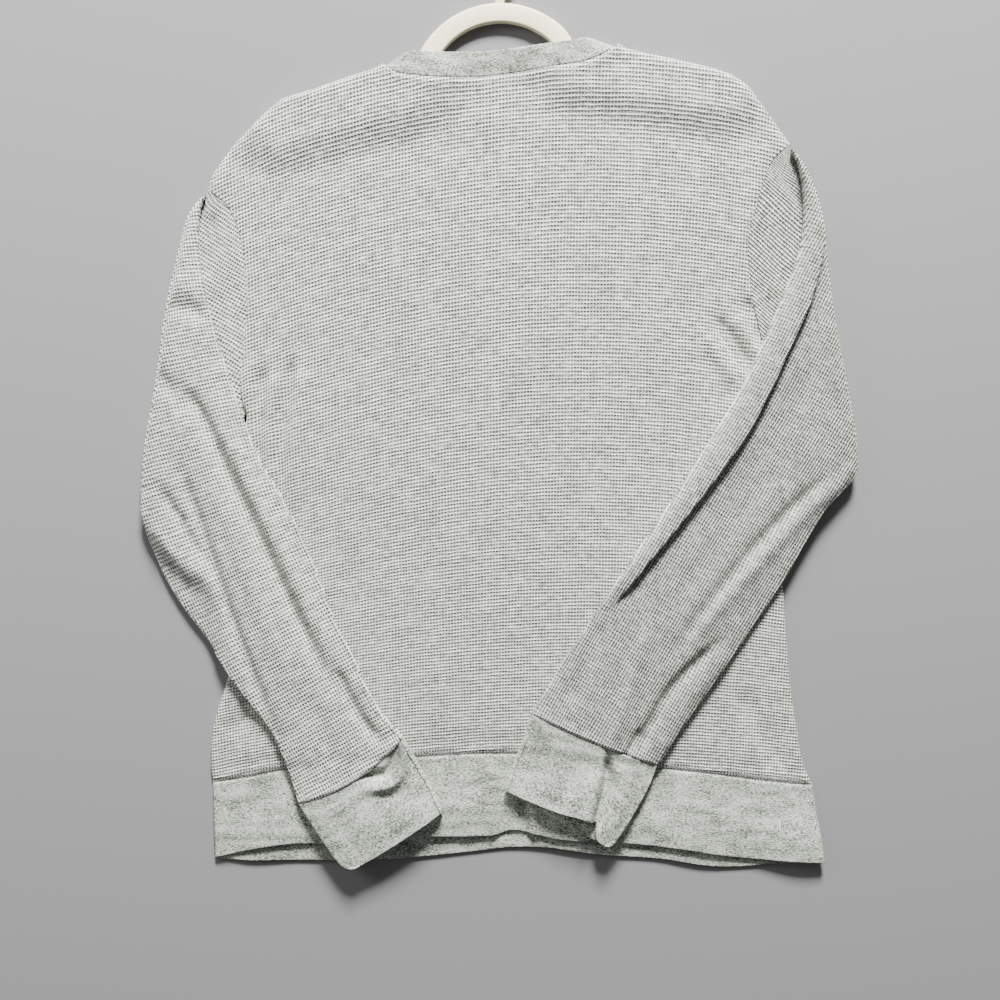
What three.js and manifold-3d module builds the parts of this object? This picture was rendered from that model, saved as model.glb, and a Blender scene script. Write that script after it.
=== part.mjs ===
// A waffle knit thermal top laid face down on a flat surface, with its hanger inside and its
// sleeves folded over the back. Millimetres, +Z up, +X to the right of the back, +Y to the neck.
import * as THREE from 'three';
import { mergeVertices } from 'three/addons/utils/BufferGeometryUtils.js';
import Module from 'manifold-3d';

const wasm = await Module();
wasm.setup();

// Driving sizes of the cloth and of the way it lies.
const KNIT_WALL = 1.6;
const BAND_WALL = 2;
const SEAM_GAP = 0.3;
const FLAT_HEIGHT = 4.2;
const LAY_GAP = 0.6;
const BAND_EXTRA = 0.4;
const EDGE_ROUND = 6;
const TUBE_EDGE = 2.6;
const SLEEVE_PUFF = 3.4;
const CUFF_PUFF = 3;
// Distances over which the cloth comes down from the hanger, from the body to the surface beside
// it, and from the waffle onto the thicker hem, and over which the hem's layers part.
const HANGER_DRAPE = 54;
const SIDE_DRAPE = 30;
const HEM_STEP = 14;
const HEM_PARTING = 60;
// Fraction of the neck's width in which the band comes down to turn under at each end, and the
// fraction of its own width left open at its seam.
const NECK_TURN = 0.07;
const NECK_SEAM_GAP = 0.02;
// Facets across a flattened sleeve or cuff, and across the hem band.
const TUBE_FACETS = 9;
const HEM_FACETS = 36;

// Driving sizes of the hanger, a flat one-piece moulding.
const HANGER_BOTTOM = 2.4;
const HANGER_THICKNESS = 6;
const HANGER_WIDTH = 18;
const HANGER_BEVEL = 1.2;
const HANGER_CLEARANCE = 0.8;
const HANGER_FACET = 9;
const HOOK_WIDTH = 8.5;
const HOOK_STEM = 14;
const ARCH = { x: 0.5, y: 286, radius: 75, from: 33, to: 158, step: 12.5 };
const ARM_LEFT = [[-202, 261], [-160, 273], [-105, 288.5], [-84, 296], [-74, 304]];
const ARM_RIGHT = [[68, 318], [80, 314.5], [100, 311.5], [155, 302], [203, 293]];
const HOOK = { x: 0, y: 406, radius: 19, from: -38, to: 195, step: 23.3 };

const KNIT_GREY = new THREE.Color().setRGB(0.76, 0.77, 0.75, THREE.SRGBColorSpace);
const BAND_GREY = new THREE.Color().setRGB(0.74, 0.75, 0.73, THREE.SRGBColorSpace);
const IVORY = new THREE.Color().setRGB(0.97, 0.955, 0.89, THREE.SRGBColorSpace);

// Outline of the body. rise is a fraction of the way up from the hem seam to the shoulder point, and
// left and right are where the body's edge lies there. The sleeves start at ARMPIT_RISE.
const BODY_LEFT = { low: -348, high: 200 };
const BODY_RIGHT = { low: -351, high: 242 };
const ARMPIT_RISE = 0.617;
const BODY_SIDES = [
  { rise: 0, left: -265, right: 289 },
  { rise: 0.02, left: -267, right: 283 },
  { rise: 0.04, left: -267, right: 279 },
  { rise: 0.08, left: -266, right: 275 },
  { rise: 0.12, left: -261, right: 271 },
  { rise: 0.16, left: -254, right: 268 },
  { rise: 0.2, left: -248, right: 266 },
  { rise: 0.3, left: -247, right: 262 },
  { rise: 0.4, left: -246, right: 259 },
  { rise: 0.5, left: -244, right: 254 },
  { rise: 0.56, left: -241, right: 250 },
  { rise: ARMPIT_RISE, left: -234, right: 248 },
  { rise: 0.66, left: -239, right: 245 },
  { rise: 0.705, left: -238, right: 240 },
  { rise: 0.755, left: -235, right: 233 },
  { rise: 0.805, left: -233, right: 229 },
  { rise: 0.855, left: -234, right: 229 },
  { rise: 0.9, left: -237, right: 236 },
  { rise: 0.945, left: -244, right: 244 },
  { rise: 0.975, left: -253, right: 252 },
  { rise: 1, left: -270, right: 268 },
];

// The shoulders from the armhole to the neck, as x and y.
const SHOULDER_LEFT = [
  [-270, 200], [-266, 213], [-247, 240], [-219, 268], [-201, 283], [-174, 291], [-134, 305],
  [-107, 313],
];
const SHOULDER_RIGHT = [
  [108, 331], [125, 327], [167, 318], [196, 311], [214, 305], [230, 294], [246, 273], [260, 253],
  [268, 242],
];

// The neck, by fractions of the way across: height of the back seam and of the band's free edge.
const NECK = { seamLeft: -107, seamRight: 108, freeLeft: -89, freeRight: 85 };
const NECK_LINE = [
  { at: 0, seam: 313, free: 325 },
  { at: 0.05, seam: 305, free: 324.5 },
  { at: 0.12, seam: 302.5, free: 324 },
  { at: 0.21, seam: 300.5, free: 323.5 },
  { at: 0.31, seam: 300.5, free: 323.5 },
  { at: 0.43, seam: 303, free: 325 },
  { at: 0.55, seam: 306, free: 327 },
  { at: 0.66, seam: 308.5, free: 329 },
  { at: 0.77, seam: 311.5, free: 331.5 },
  { at: 0.87, seam: 315.5, free: 334 },
  { at: 0.95, seam: 323, free: 336.5 },
  { at: 1, seam: 331, free: 338 },
];

// The front neck, which lies under the hanger: the neckline and the band's free edge.
const FRONT_NECKLINE = [
  [-107, 313], [-88, 262], [-52, 222], [0, 205], [54, 224], [90, 275], [108, 331],
];
const BAND_FRONT_FREE = [
  [-89, 325], [-66, 275], [-38, 243], [0, 228], [39, 245], [67, 283], [85, 338],
];

// The seam between the waffle and the hem band.
const HEM_SEAM_ROWS = [
  [-265, -348], [-237, -344], [-197, -336], [-156, -331], [-64, -324], [-5, -321.5], [64, -326],
  [146, -335], [201, -341], [239, -346], [289, -351],
];

// Lower edges of the hem band: the back layer lies on top and shows the front layer below it.
const HEM_BACK_EDGE = [
  [-263, -417], [-222, -408], [-190, -404], [-154, -404], [-64, -397], [-27, -397], [-1, -395],
  [8, -392], [28, -394], [45, -398], [109, -403], [142, -406], [175, -410], [206, -415],
  [252, -419], [299, -421],
];
const HEM_FRONT_EDGE = [
  [-263, -418], [-237, -420], [-190, -420], [-146, -420], [-64, -416], [-25, -412], [12, -408],
  [37, -408], [94, -415], [149, -419], [201, -426], [222, -426], [263, -422], [299, -422],
];
// Where the upper layer of the hem stands off the lower one: its middle, reach and height.
const HEM_LIFTS = [
  { x: -30, reach: 55, height: 3 },
  { x: 60, reach: 40, height: 2.5 },
  { x: 185, reach: 45, height: 2 },
];
const HEM_PLEAT = { x: 24, reach: 7, depth: 3 };

// Sleeves. fold is the outline where the tube doubles back over the body, from the shoulder down.
// Each ring after it crosses the tube from its inner edge to its outer edge.
const LEFT_SLEEVE = {
  out: -1,
  side: 'left',
  fold: [
    [-275, 192], [-288, 174], [-297, 141], [-305, 108], [-311, 74], [-318, 22], [-328, -37],
    [-331, -72], [-331, -88],
  ],
  rings: [
    { inner: [-280, 165], outer: [-331, -93] },
    { inner: [-277, 133], outer: [-329, -104] },
    { inner: [-262, 69], outer: [-322, -129] },
    { inner: [-244, 14], outer: [-308, -161] },
    { inner: [-224, -42], outer: [-290, -190] },
    { inner: [-199, -86], outer: [-270, -216] },
    { inner: [-174, -137], outer: [-250, -246] },
    { inner: [-153, -193], outer: [-230, -273] },
    { inner: [-132, -236], outer: [-212, -296] },
    { inner: [-114, -274], outer: [-199, -322] },
    { inner: [-88, -305], outer: [-184, -366] },
  ],
  seamBow: 9,
  floorEdge: [
    [200, -285], [100, -306], [0, -322], [-92, -329], [-130, -300], [-175, -252], [-235, -247],
    [-281, -261], [-305, -266], [-430, -264],
  ],
  folds: [
    {
      line: [[-270, -11], [-248, -63], [-219, -122], [-171, -223], [-135, -288]],
      depth: 3.2,
      reach: 7,
    },
    {
      line: [[-284, -77], [-267, -125], [-253, -183], [-221, -242], [-206, -300]],
      depth: 2.6,
      reach: 7,
    },
  ],
};
const RIGHT_SLEEVE = {
  out: 1,
  side: 'right',
  fold: [
    [272, 234], [283, 218], [293, 193], [299, 167], [301, 143], [308, 87], [317, 36], [325, -5],
    [329, -33], [329, -48],
  ],
  rings: [
    { inner: [285, 190], outer: [329, -53] },
    { inner: [279, 155], outer: [328, -59] },
    { inner: [266, 117], outer: [324, -69] },
    { inner: [246, 69], outer: [312, -82] },
    { inner: [222, 17], outer: [297, -99] },
    { inner: [192, -33], outer: [280, -127] },
    { inner: [161, -82], outer: [263, -157] },
    { inner: [129, -129], outer: [241, -190] },
    { inner: [96, -178], outer: [216, -227] },
    { inner: [68, -220], outer: [193, -260] },
    { inner: [47, -253], outer: [169, -294] },
    { inner: [28, -283], outer: [144, -331] },
  ],
  seamBow: 2,
  floorEdge: [
    [240, 275], [184, 296], [87, 307], [36, 317], [-5, 325], [-48, 328], [-90, 300], [-130, 275],
    [-170, 262], [-243, 267], [-294, 273], [-338, 283], [-351, 289], [-430, 299],
  ],
  folds: [
    {
      line: [[318, -63], [281, -96], [249, -130], [196, -180], [142, -282], [121, -322]],
      depth: -2.5,
      reach: 9,
    },
  ],
  // The rolled pleat along the inner edge: its free side, how high it stands, how far its side
  // slopes, and the heights of the page between which it rises and dies away.
  pleat: {
    edge: [
      [298, 167], [288, 115], [281, 91], [264, 53], [250, 22], [222, -31], [185, -82], [154, -121],
      [129, -150], [96, -179],
    ],
    height: 4,
    slope: 5,
    rises: [-185, -140],
    dies: [150, 175],
  },
};

// Cuffs: each ring runs from its inner corner to its outer corner, with a bow towards the hand.
const LEFT_CUFF = {
  rings: [
    { inner: [-88, -305], outer: [-184, -366], bow: 9 },
    { inner: [-79, -322], outer: [-172, -384], bow: 9 },
    { inner: [-63, -349], outer: [-158, -405], bow: 9 },
    { inner: [-52, -372], outer: [-141, -428], bow: 9 },
  ],
  pucker: { line: [[-112, -330], [-96, -322]], depth: 3, reach: 8 },
};
const RIGHT_CUFF = {
  rings: [
    { inner: [28, -283], outer: [144, -331], bow: 2 },
    { inner: [22, -305], outer: [138, -347], bow: 3 },
    { inner: [12, -330], outer: [124, -372], bow: 3 },
    { inner: [4, -353], outer: [102, -405], bow: 5 },
  ],
  pucker: { line: [[86, -385], [96, -362], [98, -330]], depth: 3, reach: 7 },
};

// A smooth step from 0 to 1 between two values.
const smooth = (from, to, at) => THREE.MathUtils.smoothstep(at, from, to);
const { lerp } = THREE.MathUtils;

// A smooth curve through a table of x and y.
function curveThrough(points) {
  return new THREE.SplineCurve(points.map(([x, y]) => new THREE.Vector2(x, y)));
}

// The second column of a table, read at a value of its first, with straight stretches between rows.
function readTable(rows, at) {
  const rising = rows[0][0] < rows[rows.length - 1][0] ? rows : [...rows].reverse();
  const last = rising.length - 1;
  const next = THREE.MathUtils.clamp(rising.findIndex(([key]) => key > at), 0, last) || last;
  const [x0, y0] = rising[Math.max(next - 1, 0)];
  const [x1, y1] = rising[next];
  return lerp(y0, y1, THREE.MathUtils.clamp((at - x0) / (x1 - x0), 0, 1));
}

const swapped = (rows) => rows.map(([x, y]) => [y, x]);

// A table read along its smooth curve instead of straight from row to row.
function smoothTable(rows) {
  return curveThrough(rows).getPoints(12 * rows.length).map(({ x, y }) => [x, y]);
}
const HEM_SEAM = smoothTable(HEM_SEAM_ROWS);

// A point on the edge of the body, on its left or right side.
const BODY_EDGES = {
  left: { ...BODY_LEFT, rows: BODY_SIDES.map(({ rise, left }) => [rise, left]) },
  right: { ...BODY_RIGHT, rows: BODY_SIDES.map(({ rise, right }) => [rise, right]) },
};
function bodyEdge(side, rise) {
  const { low, high, rows } = BODY_EDGES[side];
  return new THREE.Vector2(readTable(rows, rise), lerp(low, high, rise));
}

// A point of the back neck: on its seam where v is 0 and on the band's free edge where v is 1.
function neckPoint(at, v) {
  const seamY = readTable(NECK_LINE.map((row) => [row.at, row.seam]), at);
  const freeY = readTable(NECK_LINE.map((row) => [row.at, row.free]), at);
  const seam = new THREE.Vector2(lerp(NECK.seamLeft, NECK.seamRight, at), seamY);
  return seam.lerp(new THREE.Vector2(lerp(NECK.freeLeft, NECK.freeRight, at), freeY), v);
}

// The least distance from a place to a line of points.
function distanceTo(points, x, y) {
  let least = Infinity;
  for (let i = 1; i < points.length; i += 1) {
    const [ax, ay] = points[i - 1];
    const [bx, by] = points[i];
    const along = ((x - ax) * (bx - ax) + (y - ay) * (by - ay)) / ((bx - ax) ** 2 + (by - ay) ** 2);
    const at = THREE.MathUtils.clamp(along, 0, 1);
    least = Math.min(least, Math.hypot(x - lerp(ax, bx, at), y - lerp(ay, by, at)));
  }
  return least;
}

// A soft trough, or a ridge where its depth is negative, along a line of points.
function trough({ line, depth, reach }, x, y) {
  return depth * Math.exp(-((distanceTo(line, x, y) / reach) ** 2));
}

// Points on an arc, from one angle to the other.
function arcPoints({ x, y, radius, from, to, step }) {
  const points = [];
  for (let degrees = from; degrees <= to; degrees += step) {
    const turn = THREE.MathUtils.degToRad(degrees);
    points.push([x + radius * Math.cos(turn), y + radius * Math.sin(turn)]);
  }
  return points;
}

// Middle line of the hanger: left arm, arch and right arm.
const HANGER_LINE = [...ARM_LEFT, ...arcPoints(ARCH).slice(1).reverse(), ...ARM_RIGHT];

// Height of the upper body layer: flat, and raised where it lies over the hanger.
function bodyHeight(x, y) {
  const over = HANGER_BOTTOM + HANGER_THICKNESS + HANGER_CLEARANCE + KNIT_WALL - FLAT_HEIGHT;
  const away = smooth(HANGER_WIDTH, HANGER_DRAPE, distanceTo(HANGER_LINE, x, y));
  return FLAT_HEIGHT + over * (1 - away);
}

// Height of the hem band, whose upper layer stands off near the bottom. With its pleat, it dips in.
function hemHeight(x, y, pleat = 0) {
  const down = smooth(0, HEM_PARTING, readTable(HEM_SEAM, x) - y);
  let lift = 0;
  for (const { x: middle, reach, height } of HEM_LIFTS) {
    lift += height * Math.exp(-(((x - middle) / reach) ** 2));
  }
  const dip = pleat * Math.exp(-(((x - HEM_PLEAT.x) / HEM_PLEAT.reach) ** 2));
  return FLAT_HEIGHT + BAND_EXTRA + down * Math.max(lift - dip, 0);
}

// Height on which a sleeve or cuff lies: the body, the hem, or the floor beside them.
function restHeight(sleeve, x, y) {
  const outside = (x - readTable(sleeve.floorEdge, y)) * sleeve.out;
  const onHem = smooth(-HEM_STEP, 0, readTable(HEM_SEAM, x) - y);
  const under = lerp(FLAT_HEIGHT, hemHeight(x, y), onHem);
  return LAY_GAP + under * (1 - smooth(0, SIDE_DRAPE, outside));
}

// A closed wall between an outer and an inner grid of points. Its edges are closed by rims, and
// its columns join on themselves where round is true.
function wall(name, material, outer, inner, round) {
  const rows = outer.length;
  const columns = outer[0].length;
  const positions = [...outer.flat(), ...inner.flat()].flatMap((point) => point.toArray());
  const index = [];
  const out = (row, column) => row * columns + (column % columns);
  const into = (row, column) => rows * columns + out(row, column);
  const quad = (a, b, c, d) => index.push(a, b, c, a, c, d);
  const spans = round ? columns : columns - 1;
  const end = rows - 1;
  for (let i = 0; i < spans; i += 1) {
    for (let row = 0; row < end; row += 1) {
      quad(out(row, i), out(row, i + 1), out(row + 1, i + 1), out(row + 1, i));
      quad(into(row, i), into(row + 1, i), into(row + 1, i + 1), into(row, i + 1));
    }
    quad(out(0, i), into(0, i), into(0, i + 1), out(0, i + 1));
    quad(out(end, i), out(end, i + 1), into(end, i + 1), into(end, i));
  }
  if (!round) {
    for (let row = 0; row < end; row += 1) {
      quad(out(row, 0), out(row + 1, 0), into(row + 1, 0), into(row, 0));
      quad(out(row, spans), into(row, spans), into(row + 1, spans), out(row + 1, spans));
    }
  }
  return closedMesh(name, material, positions, index);
}

// A mesh whose faces point out: its triangles are turned round where its volume comes out negative.
function closedMesh(name, material, positions, index) {
  const corner = (i) => new THREE.Vector3().fromArray(positions, index[i] * 3);
  let volume = 0;
  for (let i = 0; i < index.length; i += 3) {
    volume += corner(i).dot(corner(i + 1).cross(corner(i + 2)));
  }
  if (volume < 0) {
    index.reverse();
  }
  const geometry = new THREE.BufferGeometry();
  geometry.setAttribute('position', new THREE.Float32BufferAttribute(positions, 3));
  geometry.setIndex(index);
  geometry.computeVertexNormals();
  const mesh = new THREE.Mesh(geometry, material);
  mesh.name = name;
  return mesh;
}

// Points of one turn round a flattened tube: fraction across, set-in from the nearer edge, level
// from -1 to 1, and the way the wall faces there, across and up.
function tubeSection(acrossCount) {
  const bend = Math.SQRT1_2;
  const edge = [
    { inset: 0, level: 0, across: 1, up: 0 },
    { inset: 1 - bend, level: bend, across: bend, up: bend },
    { inset: 1, level: 1, across: 0, up: 1 },
  ];
  const points = [];
  const add = (t, { inset, level, across, up }, layer, side) => {
    points.push({
      t,
      inset: inset * TUBE_EDGE * -side,
      level: level * layer,
      across: across * side,
      up: up * layer,
    });
  };
  const flat = { inset: 0, level: 1, across: 0, up: 1 };
  for (const layer of [1, -1]) {
    const [start, side] = layer === 1 ? [0, -1] : [1, 1];
    edge.forEach((corner) => add(start, corner, layer, side));
    for (let i = 1; i < acrossCount; i += 1) {
      const t = i / acrossCount;
      add(layer === 1 ? t : 1 - t, flat, layer, side);
    }
    edge.slice(1).reverse().forEach((corner) => add(1 - start, corner, layer, -side));
  }
  return points;
}

// A flattened tube. station(r, t, layer) gives the middle of the tube there, half its height and
// its upward way. The wall is set in from the outer surface.
function flatTube(name, material, ringsAt, acrossCount, thickness, station) {
  const section = tubeSection(acrossCount);
  const outer = [];
  const inner = [];
  const onMiddle = (r, t) => station(r, THREE.MathUtils.clamp(t, 0, 1), 0).middle;
  for (const r of ringsAt) {
    const width = onMiddle(r, 1).distanceTo(onMiddle(r, 0));
    const ring = section.map((point) => {
      const t = point.t + point.inset / width;
      const { middle, half, up } = station(r, t, Math.sign(point.level));
      const across = onMiddle(r, t + 0.02).sub(onMiddle(r, t - 0.02)).setZ(0).normalize();
      const place = middle.clone().addScaledVector(up, half * point.level);
      const facing = across.clone().multiplyScalar(point.across).addScaledVector(up, point.up);
      return { place, inside: place.clone().addScaledVector(facing.normalize(), -thickness) };
    });
    outer.push(ring.map(({ place }) => place));
    inner.push(ring.map(({ inside }) => inside));
  }
  return wall(name, material, outer, inner, true);
}

// A point between the two ends of a ring, bowed sideways at its middle.
function ringPoint(inner, outer, bow, t) {
  const across = outer.clone().sub(inner);
  const sideways = new THREE.Vector2(-across.y, across.x).normalize();
  return inner.clone().addScaledVector(across, t).addScaledVector(sideways, 4 * bow * t * (1 - t));
}

// The back panel: a sheet between the hem seam, the sides with their armholes, the shoulders and
// the neckline. It turns down to the front panel at the sides and shoulders.
function backPanel(material) {
  const neckSeam = NECK_LINE.slice(1, -1).map(({ at }) => neckPoint(at, 0).toArray());
  const top = [...SHOULDER_LEFT, ...neckSeam, ...SHOULDER_RIGHT];
  const { x: leftX, y: leftY } = bodyEdge('left', 1);
  const { x: rightX } = bodyEdge('right', 1);
  const { x: hemLeftX, y: hemLeftY } = bodyEdge('left', 0);
  const { x: hemRightX } = bodyEdge('right', 0);
  const alongTop = (u) => new THREE.Vector2(lerp(leftX, rightX, u), readTable(top, lerp(leftX, rightX, u)));
  const alongHem = (u) => {
    const x = lerp(hemLeftX, hemRightX, u);
    return new THREE.Vector2(x, readTable(HEM_SEAM, x));
  };
  const place = (u, v) => {
    const left = bodyEdge('left', v);
    const right = bodyEdge('right', v);
    const sheet = alongHem(u).multiplyScalar(1 - v).addScaledVector(alongTop(u), v);
    sheet.addScaledVector(left, 1 - u).addScaledVector(right, u);
    sheet.addScaledVector(alongHem(0), -(1 - u) * (1 - v)).addScaledVector(alongHem(1), -u * (1 - v));
    return sheet.addScaledVector(alongTop(0), -(1 - u) * v).addScaledVector(alongTop(1), -u * v);
  };
  const width = rightX - leftX;
  const height = leftY - hemLeftY;
  const neckStart = (NECK.seamLeft - leftX) / width;
  const neckEnd = (NECK.seamRight - leftX) / width;
  const near = [0, 1, 3, EDGE_ROUND].map((inset) => inset / width);
  const columns = [...near, ...spread(near[3], neckStart, 6)];
  columns.push(...NECK_LINE.slice(1).map(({ at }) => lerp(neckStart, neckEnd, at)));
  columns.push(...spread(neckEnd, 1 - near[3], 6), ...near.slice(0, 3).reverse().map((inset) => 1 - inset));
  const armhole = BODY_SIDES.filter(({ rise }) => rise >= ARMPIT_RISE).map(({ rise }) => rise);
  const topRows = [32, 20, 10, EDGE_ROUND, 3, 1].map((inset) => 1 - inset / height);
  const rows = [0, ...spread(0, ARMPIT_RISE, 10).slice(0, -1), ...new Set([...armhole, ...topRows])];
  rows.sort((a, b) => a - b);
  const drop = (weight, distance) => {
    const reach = THREE.MathUtils.clamp(1 - distance / EDGE_ROUND, 0, 1);
    return 1 - weight * (1 - Math.sqrt(1 - reach * reach));
  };
  const outer = [];
  const inner = [];
  for (const v of rows) {
    const sideWeight = 1 - smooth(ARMPIT_RISE - 0.01, ARMPIT_RISE + 0.02, v);
    const shades = columns.map((u) => {
      const { x, y } = place(u, v);
      const neck = Math.min(Math.abs(u - neckStart), Math.abs(u - neckEnd)) * width;
      const topWeight = u > neckStart && u < neckEnd ? 0 : smooth(0, 10, neck);
      const left = drop(sideWeight, u * width);
      const right = drop(sideWeight, (1 - u) * width);
      const above = drop(topWeight, (1 - v) * height);
      const rise = left * right * above;
      const low = KNIT_WALL + SEAM_GAP;
      const z = low + (bodyHeight(x, y) - low) * rise;
      const across = place(u + 0.01, v).sub(place(u - 0.01, v)).normalize();
      const down = place(u, v - 0.01).sub(place(u, v + 0.01)).normalize();
      const inward = across.multiplyScalar(right - left).addScaledVector(down, 1 - above);
      inward.normalize().multiplyScalar(Math.sqrt(Math.max(1 - rise * rise, 0)));
      const gap = (v === 0 ? SEAM_GAP : 0) - (v === 1 && topWeight === 0 ? SEAM_GAP : 0);
      const point = new THREE.Vector3(x, y + gap, z);
      const offset = new THREE.Vector3(inward.x, inward.y, -rise).multiplyScalar(KNIT_WALL);
      return { point, inside: point.clone().add(offset) };
    });
    outer.push(shades.map(({ point }) => point));
    inner.push(shades.map(({ inside }) => inside));
  }
  return wall('back_panel', material, outer, inner, false);
}

// Even steps from one value to another, without the first.
function spread(from, to, count) {
  return Array.from({ length: count }, (_, i) => lerp(from, to, (i + 1) / count));
}

// The front panel: the same outline with the deeper front neckline, flat on the surface.
function frontPanel(material) {
  const neckline = curveThrough(FRONT_NECKLINE);
  const sides = BODY_SIDES.map(({ rise }) => rise);
  const outline = [
    ...HEM_SEAM.map(([x, y]) => new THREE.Vector2(x, y + SEAM_GAP)),
    ...sides.slice(1).map((rise) => bodyEdge('right', rise)),
    ...[...SHOULDER_RIGHT].reverse().slice(1, -1).map(([x, y]) => new THREE.Vector2(x, y)),
    ...[...NECK_LINE].reverse().map(({ at }) => neckline.getPointAt(at)),
    ...[...SHOULDER_LEFT].reverse().slice(1).map(([x, y]) => new THREE.Vector2(x, y)),
    ...sides.slice(1, -1).reverse().map((rise) => bodyEdge('left', rise)),
  ];
  const shape = new THREE.Shape(outline);
  const geometry = new THREE.ExtrudeGeometry(shape, { depth: KNIT_WALL, bevelEnabled: false });
  const mesh = new THREE.Mesh(geometry, material);
  mesh.name = 'front_panel';
  return mesh;
}

// A sleeve: flat from the armhole to the fold, round the fold, then lying on the body. Its
// parameter r is 0 at the armhole, 1 to 2 round the fold, and one more for each ring after it.
function sleeveStation(sleeve) {
  const armhole = BODY_SIDES.filter(({ rise }) => rise >= ARMPIT_RISE);
  const rises = armhole.map(({ rise }, i) => [i, rise]);
  const armholePlace = (t) => bodyEdge(sleeve.side, readTable(rises, (1 - t) * (rises.length - 1)));
  const foldLine = curveThrough(sleeve.fold);
  const radius = (FLAT_HEIGHT + LAY_GAP) / 2;
  const bendReach = radius + FLAT_HEIGHT / 2;
  const first = { inner: sleeve.fold[0], outer: sleeve.fold[sleeve.fold.length - 1] };
  const rings = [first, ...sleeve.rings];
  const innerEdge = curveThrough(rings.map(({ inner }) => inner));
  const outerEdge = curveThrough(rings.map(({ outer }) => outer));
  const up = new THREE.Vector3(0, 0, 1);

  const foldPlace = (t) => {
    const place = foldLine.getPointAt(THREE.MathUtils.clamp(t, 0, 1));
    return place.add(new THREE.Vector2(-bendReach * sleeve.out, 0));
  };
  const plan = (r, t) => {
    if (r <= 1) {
      const start = armholePlace(THREE.MathUtils.clamp(t, 0, 1));
      start.add(new THREE.Vector2(SEAM_GAP * sleeve.out, -SEAM_GAP * (1 - t)));
      return start.lerp(foldPlace(t), r);
    }
    if (r <= 2) {
      return foldPlace(t);
    }
    const at = (r - 2) / sleeve.rings.length;
    const inset = lerp(bendReach, 0, smooth(2, 3, r)) * sleeve.out;
    const inner = innerEdge.getPoint(at).sub(new THREE.Vector2(inset, 0));
    const outer = outerEdge.getPoint(at).sub(new THREE.Vector2(inset, 0));
    const seam = smooth(rings.length - 3, rings.length + 1, r);
    const straight = ringPoint(inner, outer, sleeve.seamBow * seam * -sleeve.out, t);
    return foldPlace(t).lerp(straight, smooth(2, 4.5, r));
  };
  return (r, t) => {
    const { x, y } = plan(r, t);
    if (r <= 2) {
      const turn = Math.PI * Math.max(r - 1, 0);
      const outward = new THREE.Vector3(sleeve.out, 0, 0);
      const middle = new THREE.Vector3(x, y, FLAT_HEIGHT / 2 + radius * (1 - Math.cos(turn)));
      middle.addScaledVector(outward, radius * Math.sin(turn));
      const tilted = up.clone().multiplyScalar(Math.cos(turn)).addScaledVector(outward, -Math.sin(turn));
      return { middle, half: FLAT_HEIGHT / 2, up: tilted };
    }
    const bottom = restHeight(sleeve, x, y);
    const top = bottom + FLAT_HEIGHT + sleevePuff(sleeve, x, y, t) * smooth(2, 3.5, r);
    const middle = new THREE.Vector3(x, y, (bottom + top) / 2);
    return { middle, half: (top - bottom) / 2, up: up.clone().negate() };
  };
}

// How far a sleeve's upper layer stands off its lower one: fuller in the middle, with its folds
// pressed in and the rolled pleat raised.
function sleevePuff(sleeve, x, y, t) {
  let puff = SLEEVE_PUFF * Math.sqrt(Math.max(4 * t * (1 - t), 0));
  for (const fold of sleeve.folds) {
    puff -= trough(fold, x, y);
  }
  if (sleeve.pleat) {
    const { edge, height, slope, rises, dies } = sleeve.pleat;
    const beyond = x - readTable(swapped(edge), y);
    const fades = smooth(...rises, y) * (1 - smooth(...dies, y));
    puff += height * fades * (1 - smooth(-slope, slope / 2, beyond));
  }
  return Math.max(puff, 0);
}

function sleevePiece(name, material, sleeve) {
  const last = sleeve.rings.length + 2;
  const round = [1, 1.2, 1.4, 1.6, 1.8, 2];
  const ringsAt = [0, 0.5, ...round, ...spread(2, 4, 4), ...spread(4, last, sleeve.rings.length)];
  return flatTube(name, material, ringsAt, TUBE_FACETS, KNIT_WALL, sleeveStation(sleeve));
}

// A cuff: a short tube that lies on the hem band, 0.3 mm from the end of its sleeve.
function cuffPiece(name, material, cuff, sleeve) {
  const innerEdge = curveThrough(cuff.rings.map(({ inner }) => inner));
  const outerEdge = curveThrough(cuff.rings.map(({ outer }) => outer));
  const bows = cuff.rings.map(({ bow }, i) => [i / (cuff.rings.length - 1), bow]);
  const up = new THREE.Vector3(0, 0, -1);
  const station = (r, t) => {
    const inner = innerEdge.getPoint(r);
    const outer = outerEdge.getPoint(r);
    const place = ringPoint(inner, outer, -readTable(bows, r) * sleeve.out, t);
    const onward = new THREE.Vector2(inner.y - outer.y, outer.x - inner.x).normalize();
    place.addScaledVector(onward, -SEAM_GAP * sleeve.out * (1 - r));
    const bottom = restHeight(sleeve, place.x, place.y);
    const full = CUFF_PUFF * Math.sqrt(Math.max(4 * t * (1 - t), 0));
    const puff = Math.max(full - trough(cuff.pucker, place.x, place.y), 0);
    const half = (FLAT_HEIGHT + BAND_EXTRA + puff) / 2;
    return { middle: new THREE.Vector3(place.x, place.y, bottom + half), half, up };
  };
  return flatTube(name, material, [0, ...spread(0, 1, 6)], TUBE_FACETS, BAND_WALL, station);
}

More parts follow.
